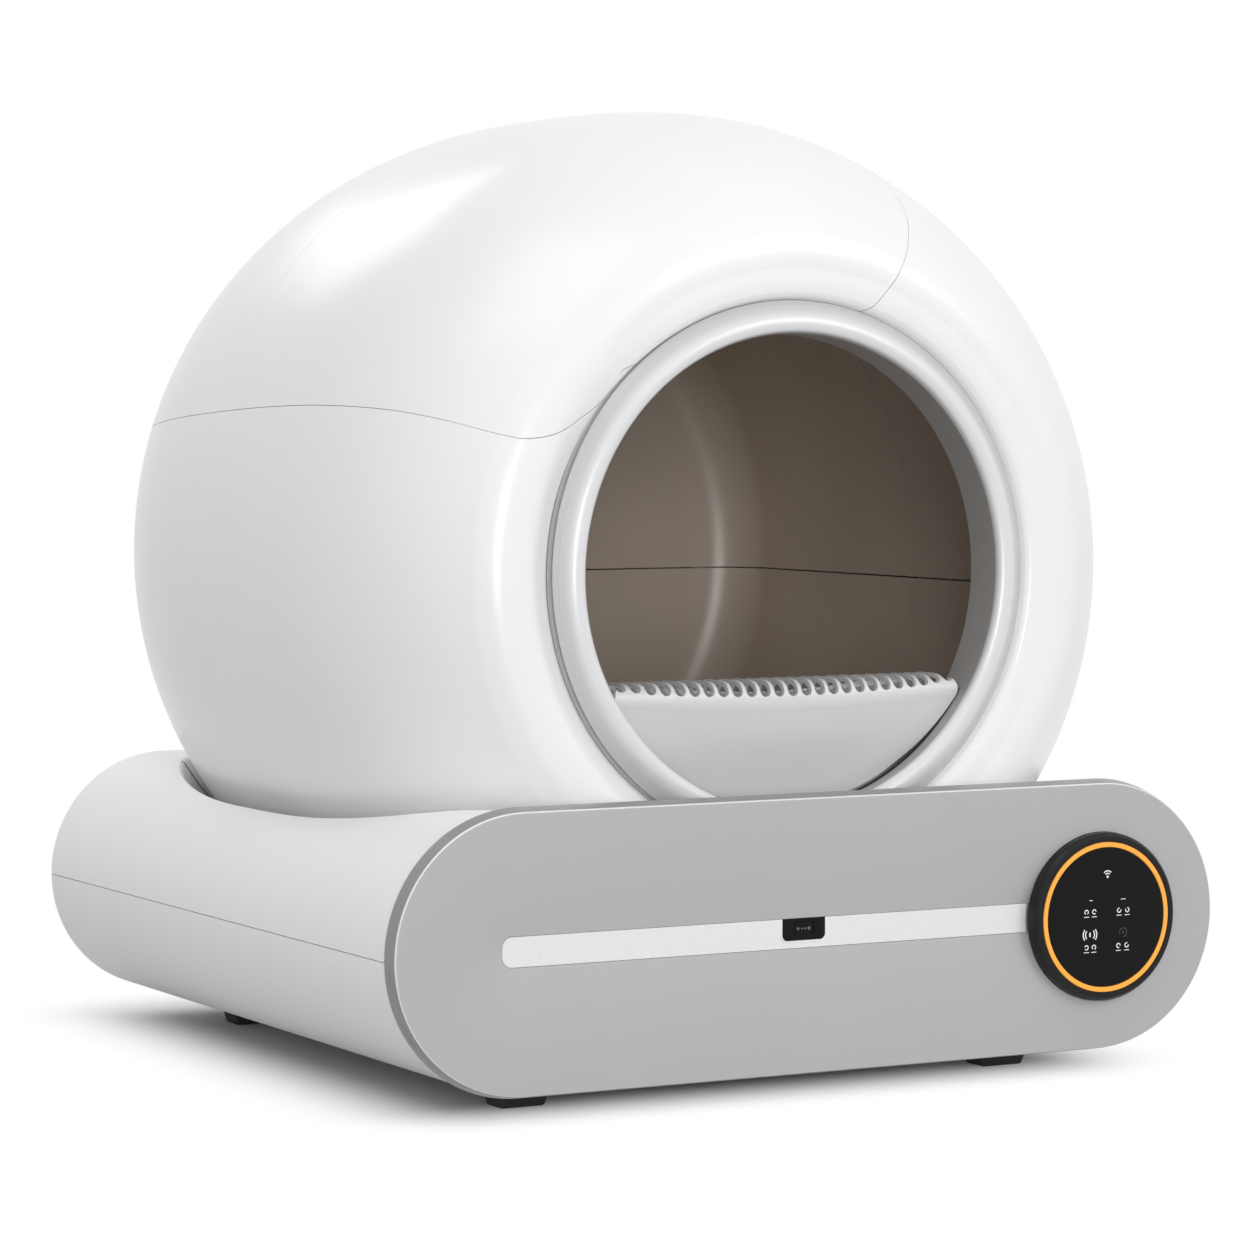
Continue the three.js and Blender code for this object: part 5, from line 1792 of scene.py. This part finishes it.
@dataclass
class Studio:
    """Floor, surround, lamps and camera, with their places in metres."""

    eye: Point3 = (-1.23466, -2.30150, 0.39092)
    yaw: float = -28.4483
    pitch: float = 2.8738
    lens: float = 120.96
    middle: Point3 = (0.0, 0.0, 0.3)
    surround_light: float = 0.6
    floor_middle: Point2 = (0.0, 0.045)
    floor_half: Point2 = (0.19, 0.21)
    fade: Point2 = (0.0, 0.105)
    floor_colour: float = 0.97
    floor_light: float = 0.45
    lamps: tuple[Lamp, ...] = (
        Lamp("key", 30, 25, 3.0, (1.4, 1.2), 17.5),
        Lamp("fill", -19, 5, 3.0, (1.0, 1.0), 22.5),
        Lamp("left", -60, 65, 2.8, (1.5, 1.5), 9),
        Lamp("back", 188, 38, 2.6, (0.9, 0.9), 4.5),
    )

    def camera(self) -> None:
        """The camera at the photograph's viewing angle."""
        data = bpy.data.cameras.new("view")
        data.lens, data.sensor_width = self.lens, 36.0
        data.clip_start, data.clip_end = 0.05, 60.0
        thing = placed("view", data)
        thing.location = self.eye
        thing.rotation_euler = (math.radians(90 - self.pitch), 0, math.radians(self.yaw))
        bpy.context.scene.camera = thing

    def light(self, lamp: Lamp) -> None:
        """Hangs up a lamp and aims it.

        Args:
            lamp: what is hung up, and where.
        """
        data = bpy.data.lights.new(lamp.name, "AREA")
        data.shape, data.size, data.size_y, data.energy = "RECTANGLE", *lamp.size, lamp.power
        turn, lift = math.radians(lamp.azimuth), math.radians(lamp.elevation)
        flat, rise = lamp.distance * math.cos(lift), lamp.distance * math.sin(lift)
        out = Vector((flat * math.sin(turn), -flat * math.cos(turn), rise))
        thing = placed(lamp.name, data)
        thing.location = Vector(self.middle) + out
        thing.rotation_euler = (-out).to_track_quat("-Z", "Y").to_euler()

    def seen(self, graph: Graph) -> Sock:
        """Tells the looks of a surface from its light.

        Args:
            graph: the nodes that it is added to.

        Returns:
            1 where the camera, a reflection or glass looks straight at the surface.
        """
        rays = ("Is Camera Ray", "Is Glossy Ray", "Is Transmission Ray")
        camera, glossy, through = (graph.node("ShaderNodeLightPath", output=ray) for ray in rays)
        return (camera + glossy + through).eased(0.0, 0.5)

    def world(self) -> None:
        """A white surround that lights more gently than it looks."""
        surround = bpy.data.worlds.new("surround")
        bpy.context.scene.world = surround
        graph = Graph(surround)
        soft, white = (
            graph.node("ShaderNodeBackground", {}, {"Color": WHITE, "Strength": strength})
            for strength in (self.surround_light, 1.0)
        )
        both = graph.node("ShaderNodeMixShader", {}, {0: self.seen(graph), 1: soft, 2: white})
        graph.feed(graph.tree.nodes["World Output"].inputs["Surface"], both)

    def floor(self) -> None:
        """A plain pale floor that fades into the surround."""
        form = Form()
        bmesh.ops.create_grid(form.mesh, x_segments=1, y_segments=1, size=12)
        pale = bpy.data.materials.new("pale_floor")
        graph = Graph(pale)
        surface = graph.tree.nodes["Principled BSDF"]
        place = graph.vector("SUBTRACT", graph.place(), (*self.floor_middle, 0.0))
        spread = graph.vector("ABSOLUTE", place)
        beyond = graph.vector("SUBTRACT", spread, (*self.floor_half, 0.0))
        beyond = graph.vector("MAXIMUM", beyond, (0.0, 0.0, 0.0))
        far = graph.vector("LENGTH", beyond, output="Value").eased(*self.fade)
        seen = self.seen(graph)
        white, grey = ((*[level] * 3, 1.0) for level in (self.floor_colour, self.floor_light))
        graph.feed(surface.inputs["Base Color"], graph.mixed(seen, grey, white))
        graph.feed(surface.inputs["Roughness"], 0.9)
        graph.feed(surface.inputs["Specular IOR Level"], 0.0)
        glow = graph.node("ShaderNodeEmission", {}, {"Color": WHITE, "Strength": 1.0})
        shaders = {0: far * seen, 1: Sock(graph, surface.outputs[0]), 2: glow}
        both = graph.node("ShaderNodeMixShader", {}, shaders)
        graph.feed(graph.tree.nodes["Material Output"].inputs["Surface"], both)
        thing = form.loose("floor")
        thing.data.materials.append(pale)

    def build(self) -> None:
        """Sets up the whole studio."""
        self.camera()
        self.world()
        self.floor()
        for lamp in self.lamps:
            self.light(lamp)
        bpy.context.scene.view_settings.view_transform = "Standard"


def main() -> None:
    """Builds the object's sub-assemblies in order."""
    logging.basicConfig(level=logging.INFO, format="%(name)s %(message)s", stream=sys.stdout)
    Studio().build()
    globe = Globe()
    globe.build()
    Base().build(globe)
    for assembly in (FrontPanel, ControlDisc, Drum, Mouth, Underside, InnerWorks):
        assembly().build()


if __name__ == "__main__":
    main()
